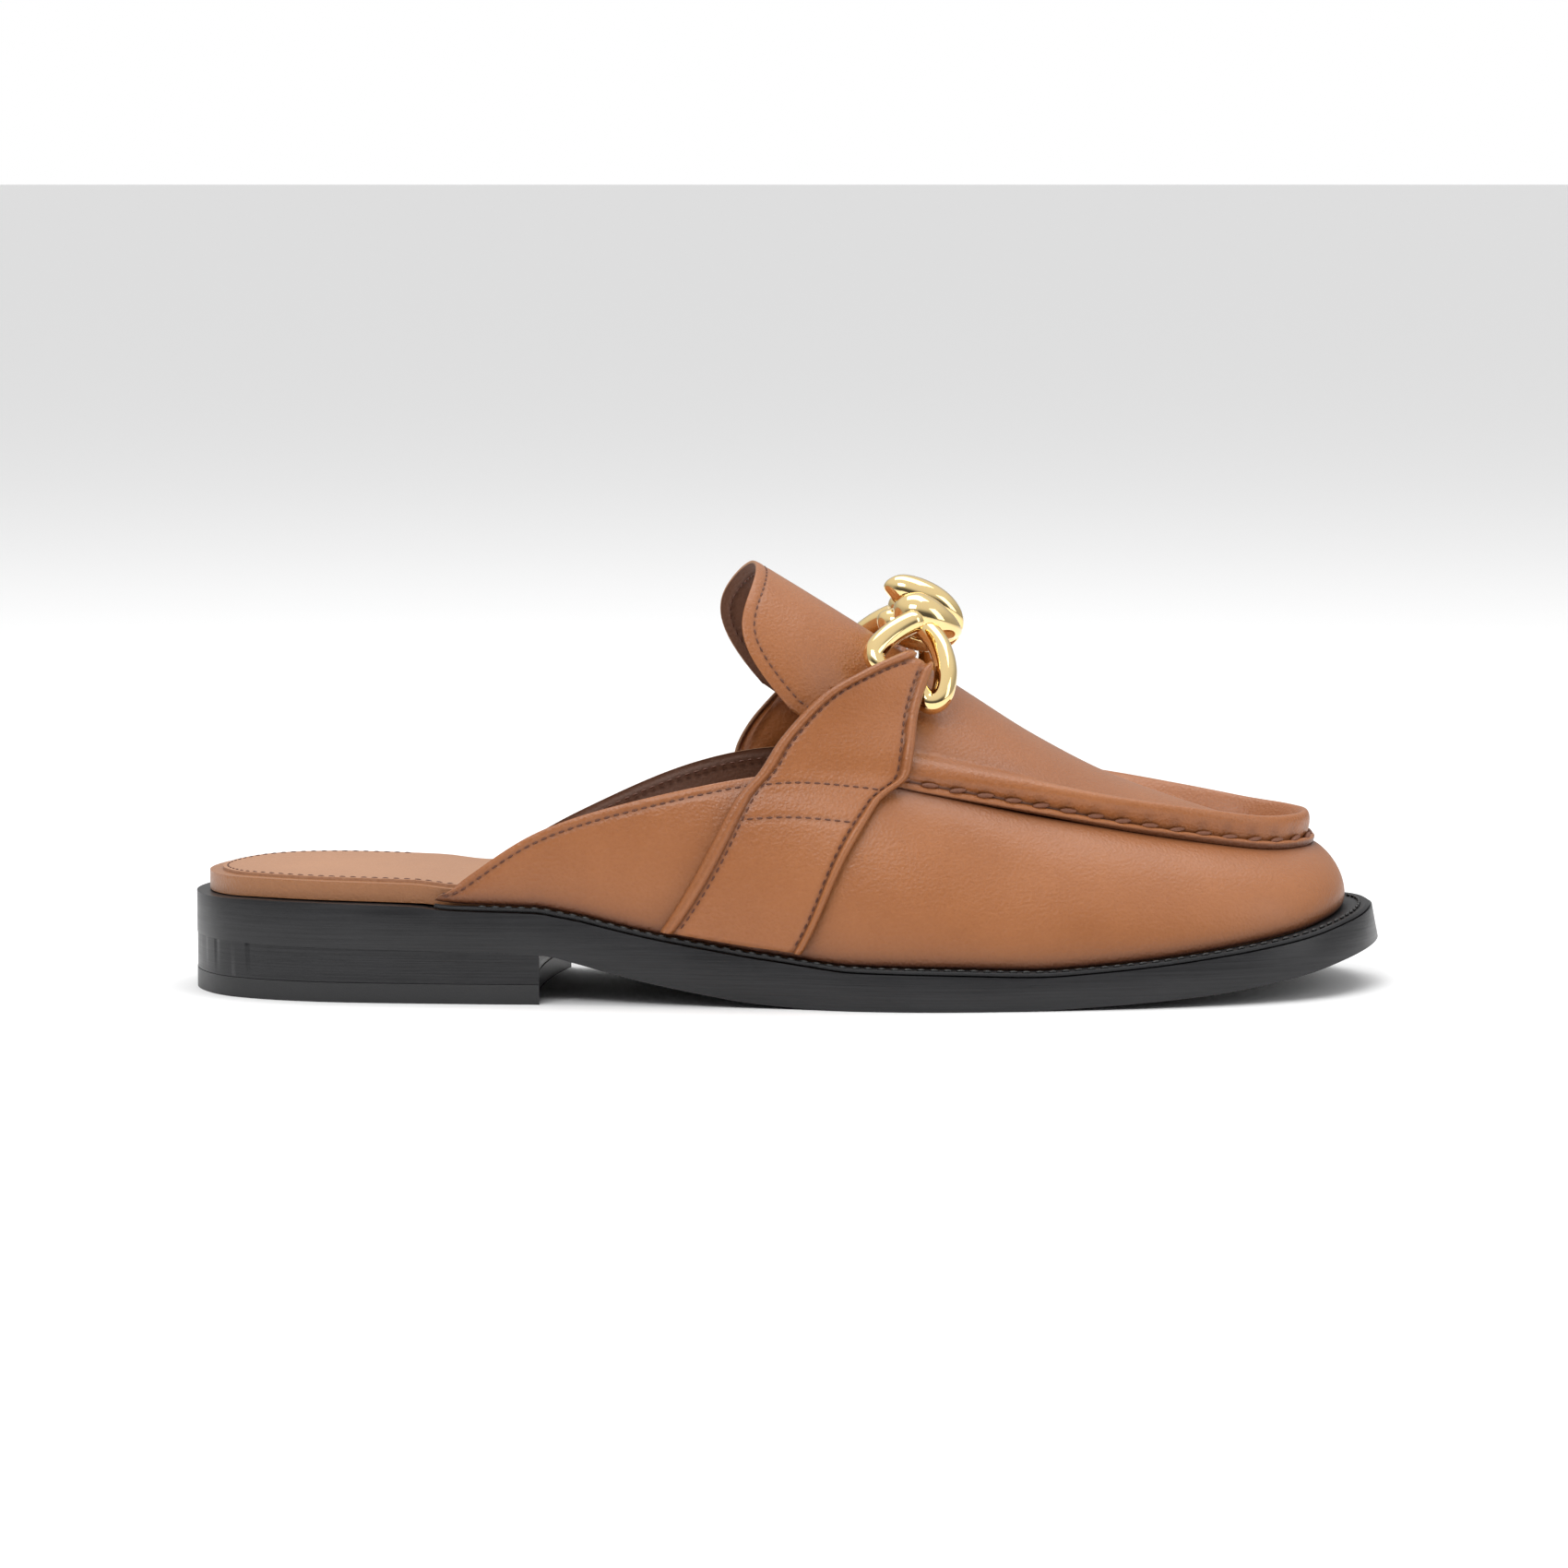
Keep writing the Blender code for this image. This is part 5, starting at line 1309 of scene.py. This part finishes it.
@dataclass
class Strap:
    """One saddle strap: over the wall, free over the instep, folded round its ring."""

    shop: Workshop
    side: Side
    rear_stations: tuple[float, float] = (1.98, 2.83)
    front_stations: tuple[float, float] = (3.10, 4.68)
    wall_top: float = 0.80
    foot: float = 0.03
    wall: float = 0.0016
    bead: float = 0.0010
    bead_width: float = 0.0023
    fold_radius: float = 0.0020
    row_inset: float = 0.0031
    cross_rows: tuple[float, float] = (0.0312, 0.0404)
    wall_rows: int = 30
    free_rows: int = 40

    def __post_init__(self) -> None:
        """Work out the strap's skin once."""
        ends = np.array([0.0, 1.0])
        self.top = self.over_wall(self.wall_top, np.concatenate((ends, self.crosses())))
        self.knots = self.edge_knots()
        self.skin = self.make_skin()

    def over_wall(self, share: float, crosses: np.ndarray) -> np.ndarray:
        """Return a row of the inner face over the upper's wall."""
        return np.array([self.wall_point(share, cross, self.shop.last.fit) for cross in crosses])

    def wall_point(self, share: float, cross: float, offset: float) -> np.ndarray:
        """Return a point over the upper's wall: cross 0 at the rear edge and 1 at the front."""
        last = self.shop.last
        rear = self.rear_stations[0] + (self.rear_stations[1] - self.rear_stations[0]) * share
        front = self.front_stations[0] + (self.front_stations[1] - self.front_stations[0]) * share
        station = rear + (front - rear) * cross
        if self.side is Side.MEDIAL:
            station = LAST_STATION - station
        shares = np.array([share])
        return last.wall_points(station, shares)[0] + last.wall_normals(station, shares)[0] * offset

    def edge_knots(self) -> np.ndarray:
        """Return the rows of both edges from the wall's top to the tip."""
        last = self.shop.last
        fit = last.fit
        rows = []
        for share in (0.7 * self.wall_top, self.wall_top):
            rows.append((*self.wall_point(share, 0.0, fit), *self.wall_point(share, 1.0, fit)))
        scale = np.array((last.sole_length, self.side.value * last.ball_width, last.instep_height) * 2)
        return np.array(rows + [tuple(np.array(row) * scale) for row in STRAP_FREE])

    def row(self, index: int, crosses: np.ndarray) -> np.ndarray:
        """Return a row of the strap's inner face."""
        if index <= self.wall_rows:
            return self.over_wall(self.foot + (self.wall_top - self.foot) * index / self.wall_rows, crosses)
        place = 1.0 + (index - self.wall_rows) / self.free_rows * (len(self.knots) - 2)
        row = spline(self.knots, place, closed=False)
        straight = row[:3] + (row[3:] - row[:3]) * crosses[:, None]
        rear, front = self.top[:2]
        bow = self.top[2:] - (rear + (front - rear) * crosses[:, None])
        fade = float(1.0 - ease((place - 1.0) / 2.2))
        return straight + bow * fade

    def crosses(self) -> np.ndarray:
        """Return shares across the strap, closer together over the beads."""
        v = np.linspace(0.0, 1.0, 53)
        return v - 0.115 * np.sin(2.0 * math.pi * v)

    def make_skin(self) -> tuple[np.ndarray, np.ndarray, np.ndarray]:
        """Return the strap's outer points and painted shading, row by row, and the bar line of its fold."""
        crosses = self.crosses()
        rows = np.array([self.row(index, crosses) for index in range(self.wall_rows + self.free_rows + 1)])
        along = np.gradient(rows, axis=0)
        across = np.gradient(rows, axis=1)
        normals = unit(np.cross(along, across))
        if normals[0, 0, 1] * self.side.value < 0.0:
            normals = -normals
        width = np.linalg.norm(rows[:, -1] - rows[:, 0], axis=1)[:, None]
        from_edge = np.minimum(crosses, 1.0 - crosses)[None, :] * width
        hump = np.sqrt(np.clip(1.0 - ((from_edge / self.bead_width - 0.5) / 0.56) ** 2, 0.0, 1.0))
        groove = bump_at(from_edge, self.row_inset, 0.0004)
        crease = bump_at(from_edge, self.bead_width * 1.08, 0.00030)
        run = np.concatenate(([0.0], np.cumsum(np.linalg.norm(np.diff(rows[:, 26], axis=0), axis=1))))
        for place in self.cross_rows:
            groove = groove + bump_at(run, place, 0.0005)[:, None] * (from_edge > self.bead_width * 1.2)
        height = self.wall + hump * self.bead - 0.00025 * crease - 0.0002 * np.clip(groove, 0.0, 1.0)
        height = height - 0.0006 * np.exp(-from_edge / 0.0004)
        outer = rows + normals * height[:, :, None]
        cord = bump_at(from_edge, self.bead_width * 0.5, 0.00022)
        height = height - 0.00012 * cord
        # Painted shading in the crease inside each bead, in the stitch grooves, along the strap's rounded edges and as
        # a line down each bead's middle.
        shade = 0.55 * crease + 0.22 * np.clip(groove, 0.0, 1.0) + 0.35 * np.exp(-from_edge / 0.0005) + 0.16 * cord
        tip = rows[-1]
        ahead = unit(tip - rows[-3])
        out = normals[-1]
        middle = tip - out * self.fold_radius
        turned = []
        for turn in np.linspace(0.0, math.pi, 13)[1:]:
            way = out * math.cos(turn) + ahead * math.sin(turn)
            turned.append(middle + way * (self.fold_radius + height[-1][:, None]))
        for step in range(1, 14):
            spread = 1.0 - 0.72 * ease(step / 13)
            turned.append(rows[-1 - step] - normals[-1 - step] * (2.0 * self.fold_radius * spread + self.wall))
        bar = rows[-1 - self.free_rows // 10] - normals[-1 - self.free_rows // 10] * self.fold_radius
        # The folded part gets a fifth of the last row's painted shading.
        shade = np.concatenate((shade, np.tile(0.2 * shade[-1], (len(turned), 1))))
        return np.concatenate((outer, np.array(turned))), shade, bar

    def make(self) -> None:
        """Make the strap and sew it."""
        last = self.shop.last
        outer, shade, _ = self.skin
        columns = outer.shape[1] - 1
        builder = bmesh.new()
        count = outer.shape[0] - 1
        self.shop.sheet(builder, count, columns, lambda u: (outer[round(u * count)], shade[round(u * count)]))
        middle = Vector(last.place(outer[self.wall_rows, columns // 2][None, :])[0])
        self.shop.face_outward(builder, middle + Vector((0.0, self.side.value * 0.05, 0.02)))
        name = f"strap_{self.side.name.lower()}"
        item = self.shop.piece(f"saddle_{name}", builder, [TAN, TAN, CUT_EDGE], "tan_leather", [name])
        self.shop.thicken(item, self.wall * 0.92, Rim.CUT)
        self.sew(outer[: self.wall_rows + self.free_rows + 1], name)

    def sew(self, outer: np.ndarray, name: str) -> None:
        """Sew the rows inside the beads and the two rows across."""
        last = self.shop.last
        crosses = self.crosses()
        along = np.gradient(outer, axis=0)
        across = np.gradient(outer, axis=1)
        normals = unit(np.cross(along, across))
        if normals[0, 0, 1] * self.side.value < 0.0:
            normals = -normals
        builder = bmesh.new()
        size = (0.0014, 0.00048, 0.00050)
        width = np.linalg.norm(outer[:, -1] - outer[:, 0], axis=1)
        for mirrored in (False, True):
            path = []
            normal = []
            for index in range(1, len(outer) - 1):
                share = self.row_inset / width[index]
                share = 1.0 - share if mirrored else share
                path.append([np.interp(share, crosses, outer[index, :, axis]) for axis in range(3)])
                normal.append([np.interp(share, crosses, normals[index, :, axis]) for axis in range(3)])
            self.shop.stitches("", last.place(np.array(path)), np.array(normal), 0.0021, size, BROWN_THREAD,
                               "tan_leather", sunk=0.45, joined=builder)
        middle = len(crosses) // 2
        run = np.concatenate(([0.0], np.cumsum(np.linalg.norm(np.diff(outer[:, middle], axis=0), axis=1))))
        for place in self.cross_rows:
            index = int(np.searchsorted(run, place))
            keep = (crosses > self.row_inset / width[index]) & (crosses < 1.0 - self.row_inset / width[index])
            self.shop.stitches("", last.place(outer[index, keep]), normals[index, keep], 0.0021, size,
                               BROWN_THREAD, "tan_leather", sunk=0.45, joined=builder)
        self.shop.piece(f"{name}_stitches", builder, [BROWN_THREAD], "tan_leather", sharp=180.0)


# Lateral ring from its tip over the knot to where it goes under the strap, and from there back up
# under the knot: along, across, height, as shares of the sole's length, the ball's width and the
# instep's height
RING_REAR = ((0.6105, 0.136, 0.872), (0.595, 0.152, 0.857), (0.5785, 0.175, 0.829), (0.5665, 0.198, 0.793))
RING_FRONT = ((0.6105, 0.2216, 0.6800), (0.6220, 0.216, 0.690), (0.6270, 0.196, 0.726), (0.6285, 0.166, 0.764),
              (0.6240, 0.124, 0.812), (0.6160, 0.085, 0.842))


@dataclass
class Strand:
    """One bar of the knot: where it lies round the knot and how thick it is."""

    around: float
    radius: float
    start: float


@dataclass
class Ornament:
    """The cast knot and its two rings."""

    shop: Workshop
    straps: tuple[Strap, Strap]
    ring_bar: float = 0.0026
    bar_in_strap: float = 0.0019
    bar_step: float = 0.0005
    knot_length: float = 0.0235
    knot_width: float = 0.0215
    knot_height: float = 0.0160
    knot_tilt: float = math.radians(24.0)
    strands: tuple[Strand, ...] = (
        Strand(math.radians(90.0), 0.0040, 0.13), Strand(math.radians(3.0), 0.0050, 0.25),
        Strand(math.radians(177.0), 0.0050, 0.25), Strand(math.radians(-90.0), 0.0040, 0.20),
    )

    def route(self, strap: Strap) -> np.ndarray:
        """Return a ring's centre line: from its tip, through the strap's fold, and under the knot."""
        last = self.shop.last
        bar = strap.skin[2]
        rear = bar[0]
        front = bar[-1]
        scale = np.array([last.sole_length, strap.side.value * last.ball_width, last.instep_height])
        rows = [(*(np.array(row) * scale), self.ring_bar) for row in RING_REAR]
        rows += [(*(rear + (front - rear) * cross), self.bar_in_strap) for cross in (0.10, 0.50, 0.90)]
        rows += [(*(np.array(row) * scale), self.ring_bar) for row in RING_FRONT]
        rows = np.array(rows)
        fine = np.array([spline(rows, place, closed=False) for place in np.linspace(0.0, len(rows) - 1.0, 400)])
        run = np.concatenate(([0.0], np.cumsum(np.linalg.norm(np.diff(fine[:, :3], axis=0), axis=1))))
        even = np.linspace(0.0, run[-1], int(run[-1] / self.bar_step))
        bars = np.column_stack([np.interp(even, run, fine[:, axis]) for axis in range(4)])
        ends = bars[[0, -1]].copy()
        for _ in range(14):
            bars[1:-1] = (bars[:-2] + 2.0 * bars[1:-1] + bars[2:]) / 4.0
        bars[[0, -1]] = ends
        rounded = np.sqrt(np.clip(1.0 - (1.0 - np.clip(even / self.ring_bar, 0.0, 1.0)) ** 2, 0.004, 1.0))
        bars[:, 3] *= rounded
        return bars

    def tube(self, builder: bmesh.types.BMesh, centre: np.ndarray, radii: np.ndarray, closed: bool,
             squash: float = 1.0) -> None:
        """Add a round bar along a line by extruding a circle's edge loop and bridging its ends.

        Args:
            builder: the mesh that the bar goes into.
            centre: points of the bar's middle in the standing shoe.
            radii: radius at each point.
            closed: whether the bar runs into itself.
            squash: height of the section as a share of its width.
        """
        sides = 24
        made = bmesh.ops.create_circle(builder, segments=sides, radius=1.0, cap_ends=not closed)
        ring = list(made["verts"])
        loops = [ring]
        edges = [edge for edge in ring[0].link_edges]
        middle = centre.mean(axis=0)
        for _ in range(len(centre) - 1):
            edges = list({edge for vert in loops[-1] for edge in vert.link_edges
                          if all(end in loops[-1] for end in edge.verts)})
            grown = bmesh.ops.extrude_edge_only(builder, edges=edges)
            fresh = {vert for vert in grown["geom"] if isinstance(vert, bmesh.types.BMVert)}
            following = []
            for vert in loops[-1]:
                partner = [edge.other_vert(vert) for edge in vert.link_edges if edge.other_vert(vert) in fresh]
                following.append(partner[0])
            loops.append(following)
        for index, loop in enumerate(loops):
            before = centre[index - 1] if index or closed else centre[0]
            after = centre[(index + 1) % len(centre)] if index < len(centre) - 1 or closed else centre[-1]
            ahead = unit(after - before)
            out = centre[index] - middle
            out = unit(out - ahead * (out @ ahead))
            beside = np.cross(ahead, out)
            for corner, vert in enumerate(loop):
                turn = 2.0 * math.pi * corner / sides
                way = out * math.cos(turn) * squash + beside * math.sin(turn)
                vert.co = Vector(centre[index] + way * radii[index])
        if closed:
            ends = []
            for loop in (loops[0], loops[-1]):
                ends += list({edge for vert in loop for edge in vert.link_edges
                              if all(end in loop for end in edge.verts)})
            bmesh.ops.bridge_loops(builder, edges=ends)
        else:
            bmesh.ops.contextual_create(builder, geom=loops[-1])

    def make_ring(self, strap: Strap) -> None:
        """Make one cast ring."""
        bars = self.route(strap)
        builder = bmesh.new()
        self.tube(builder, self.shop.last.place(bars[:, :3]), bars[:, 3], closed=False)
        bmesh.ops.recalc_face_normals(builder, faces=builder.faces)
        self.shop.piece(f"ring_{strap.side.name.lower()}", builder, [GOLD], "gold", sharp=180.0)

    def on_knot(self, around: float, turn: float, depth: float) -> np.ndarray:
        """Return a point of the knot's egg: around its axis, turn from the rear pole to the front."""
        last = self.shop.last
        girth = math.sin(turn) ** 0.85
        ahead = -(0.5 * self.knot_length - depth) * math.cos(turn)
        beside = (0.5 * self.knot_width - depth) * girth * math.cos(around)
        up = (0.5 * self.knot_height - depth) * girth * math.sin(around)
        cos = math.cos(self.knot_tilt)
        sin = math.sin(self.knot_tilt)
        return np.array([0.6086 * last.sole_length + ahead * cos + up * sin, beside,
                         0.8736 * last.instep_height - ahead * sin + up * cos])

    def make_knot(self) -> None:
        """Make the knot: bars laid side by side that part at the rear and meet at the front."""
        last = self.shop.last
        builder = bmesh.new()
        for strand in self.strands:
            start = strand.start * math.pi
            centre = []
            radii = []
            for share in np.linspace(0.0, 1.0, 90) ** 1.25:
                turn = start + (0.985 * math.pi - start) * share
                girth = math.sin(turn) ** 0.7
                radius = 0.0004 + (strand.radius - 0.0004) * girth
                centre.append(self.on_knot(strand.around, turn, radius))
                radii.append(radius)
            centre = np.array(centre)
            run = np.concatenate(([0.0], np.cumsum(np.linalg.norm(np.diff(centre, axis=0), axis=1))))
            head = np.clip(run / strand.radius, 0.0, 1.0)
            radii = np.array(radii) * np.sqrt(np.clip(1.0 - (1.0 - head) ** 2, 0.004, 1.0))
            self.tube(builder, last.place(centre), radii, closed=False)
        bmesh.ops.create_uvsphere(builder, u_segments=24, v_segments=16, radius=0.0045,
                                  matrix=Matrix.Translation(Vector(last.place(
                                      np.array([self.on_knot(0.0, math.pi / 2.0, 0.5 * self.knot_width)]))[0])))
        bmesh.ops.recalc_face_normals(builder, faces=builder.faces)
        self.shop.piece("knot", builder, [GOLD], "gold", ["ornament"], sharp=180.0)

    def make(self) -> None:
        """Make the knot and both rings."""
        self.make_knot()
        for strap in self.straps:
            self.make_ring(strap)


@dataclass
class Studio:
    """Camera, pale floor and soft light."""

    shop: Workshop
    eye: tuple[float, float, float] = (-0.00033, -1.39858, 0.189)
    pitch: float = math.radians(5.8645)
    lens: float = 142.39

    def make_camera(self) -> None:
        """Set the camera where the photograph was taken from."""
        data = bpy.data.cameras.new("camera")
        data.lens = self.lens
        data.sensor_width = 36.0
        data.clip_end = 100.0
        camera = bpy.data.objects.new("camera", data)
        camera.location = self.eye
        camera.rotation_euler = (math.pi / 2.0 - self.pitch, 0.0, 0.0)
        bpy.context.scene.collection.objects.link(camera)
        bpy.context.scene.camera = camera

    def make_floor(self) -> None:
        """Lay the floor."""
        builder = bmesh.new()
        bmesh.ops.create_grid(builder, x_segments=2, y_segments=2, size=30.0)
        mesh = bpy.data.meshes.new("floor")
        builder.to_mesh(mesh)
        builder.free()
        mesh.materials.append(self.shop.dye(Floor()))
        floor = bpy.data.objects.new("floor", mesh)
        bpy.context.scene.collection.objects.link(floor)

    def make_lights(self) -> None:
        """Hang the softboxes."""
        for name, place, size, power in (
            ("key", (-0.35, -1.00, 1.05), (0.80, 0.45), 8.0),
            ("top", (0.10, 0.25, 1.40), (1.50, 0.80), 10.0),
            ("side", (1.30, -0.55, 0.60), (0.50, 0.90), 3.0),
        ):
            data = bpy.data.lights.new(name, "AREA")
            data.shape = "RECTANGLE"
            data.size, data.size_y = size
            data.energy = power
            lamp = bpy.data.objects.new(name, data)
            lamp.location = place
            lamp.rotation_euler = (Vector((0.0, 0.0, 0.04)) - Vector(place)).to_track_quat("-Z", "Y").to_euler()
            bpy.context.scene.collection.objects.link(lamp)

    def make_surroundings(self) -> None:
        """Surround the shoe with white paper that lies dimmer towards the camera and the floor."""
        scene = bpy.context.scene
        scene.view_settings.view_transform = "Standard"
        world = bpy.data.worlds.new("studio")
        scene.world = world
        world.use_nodes = True
        graph = Graph(world.node_tree, "Generated")
        _, depth, height = graph.parts()
        walls = graph.steps(height, ((0.0, (0.42,) * 3), (0.25, (0.50,) * 3), (0.60, (0.85,) * 3), (1.0, (0.95,) * 3)))
        room = (((depth * -1.0 - 0.45) * 4.0).clamp() * ((0.50 - height) * 4.0).clamp()).clamp()
        soft = graph.mix(room, walls, (0.10, 0.10, 0.11))
        seen = graph.add("ShaderNodeLightPath", {}, {}).outputs["Is Camera Ray"]
        graph.plug(graph.tree.nodes["Background"].inputs["Color"], graph.mix(Value(graph, seen), soft, (1.0, 1.0, 1.0)))

    def make(self) -> None:
        """Set up the studio."""
        self.make_camera()
        self.make_floor()
        self.make_lights()
        self.make_surroundings()


def main() -> None:
    """Build the shoe's looks in order and note the sizes."""
    logging.basicConfig(level=logging.INFO, format="%(message)s")
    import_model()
    last = Last()
    last.settle(*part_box("outsole"))
    shop = Workshop(last)
    Studio(shop).make()
    Sole(shop).make()
    Footbed(shop).make()
    Upper(shop).make()
    straps = (Strap(shop, Side.LATERAL), Strap(shop, Side.MEDIAL))
    for strap in straps:
        strap.make()
    Ornament(shop, straps).make()
    LOG.info("%d pieces", len(shop.names))


if __name__ == "__main__":
    main()
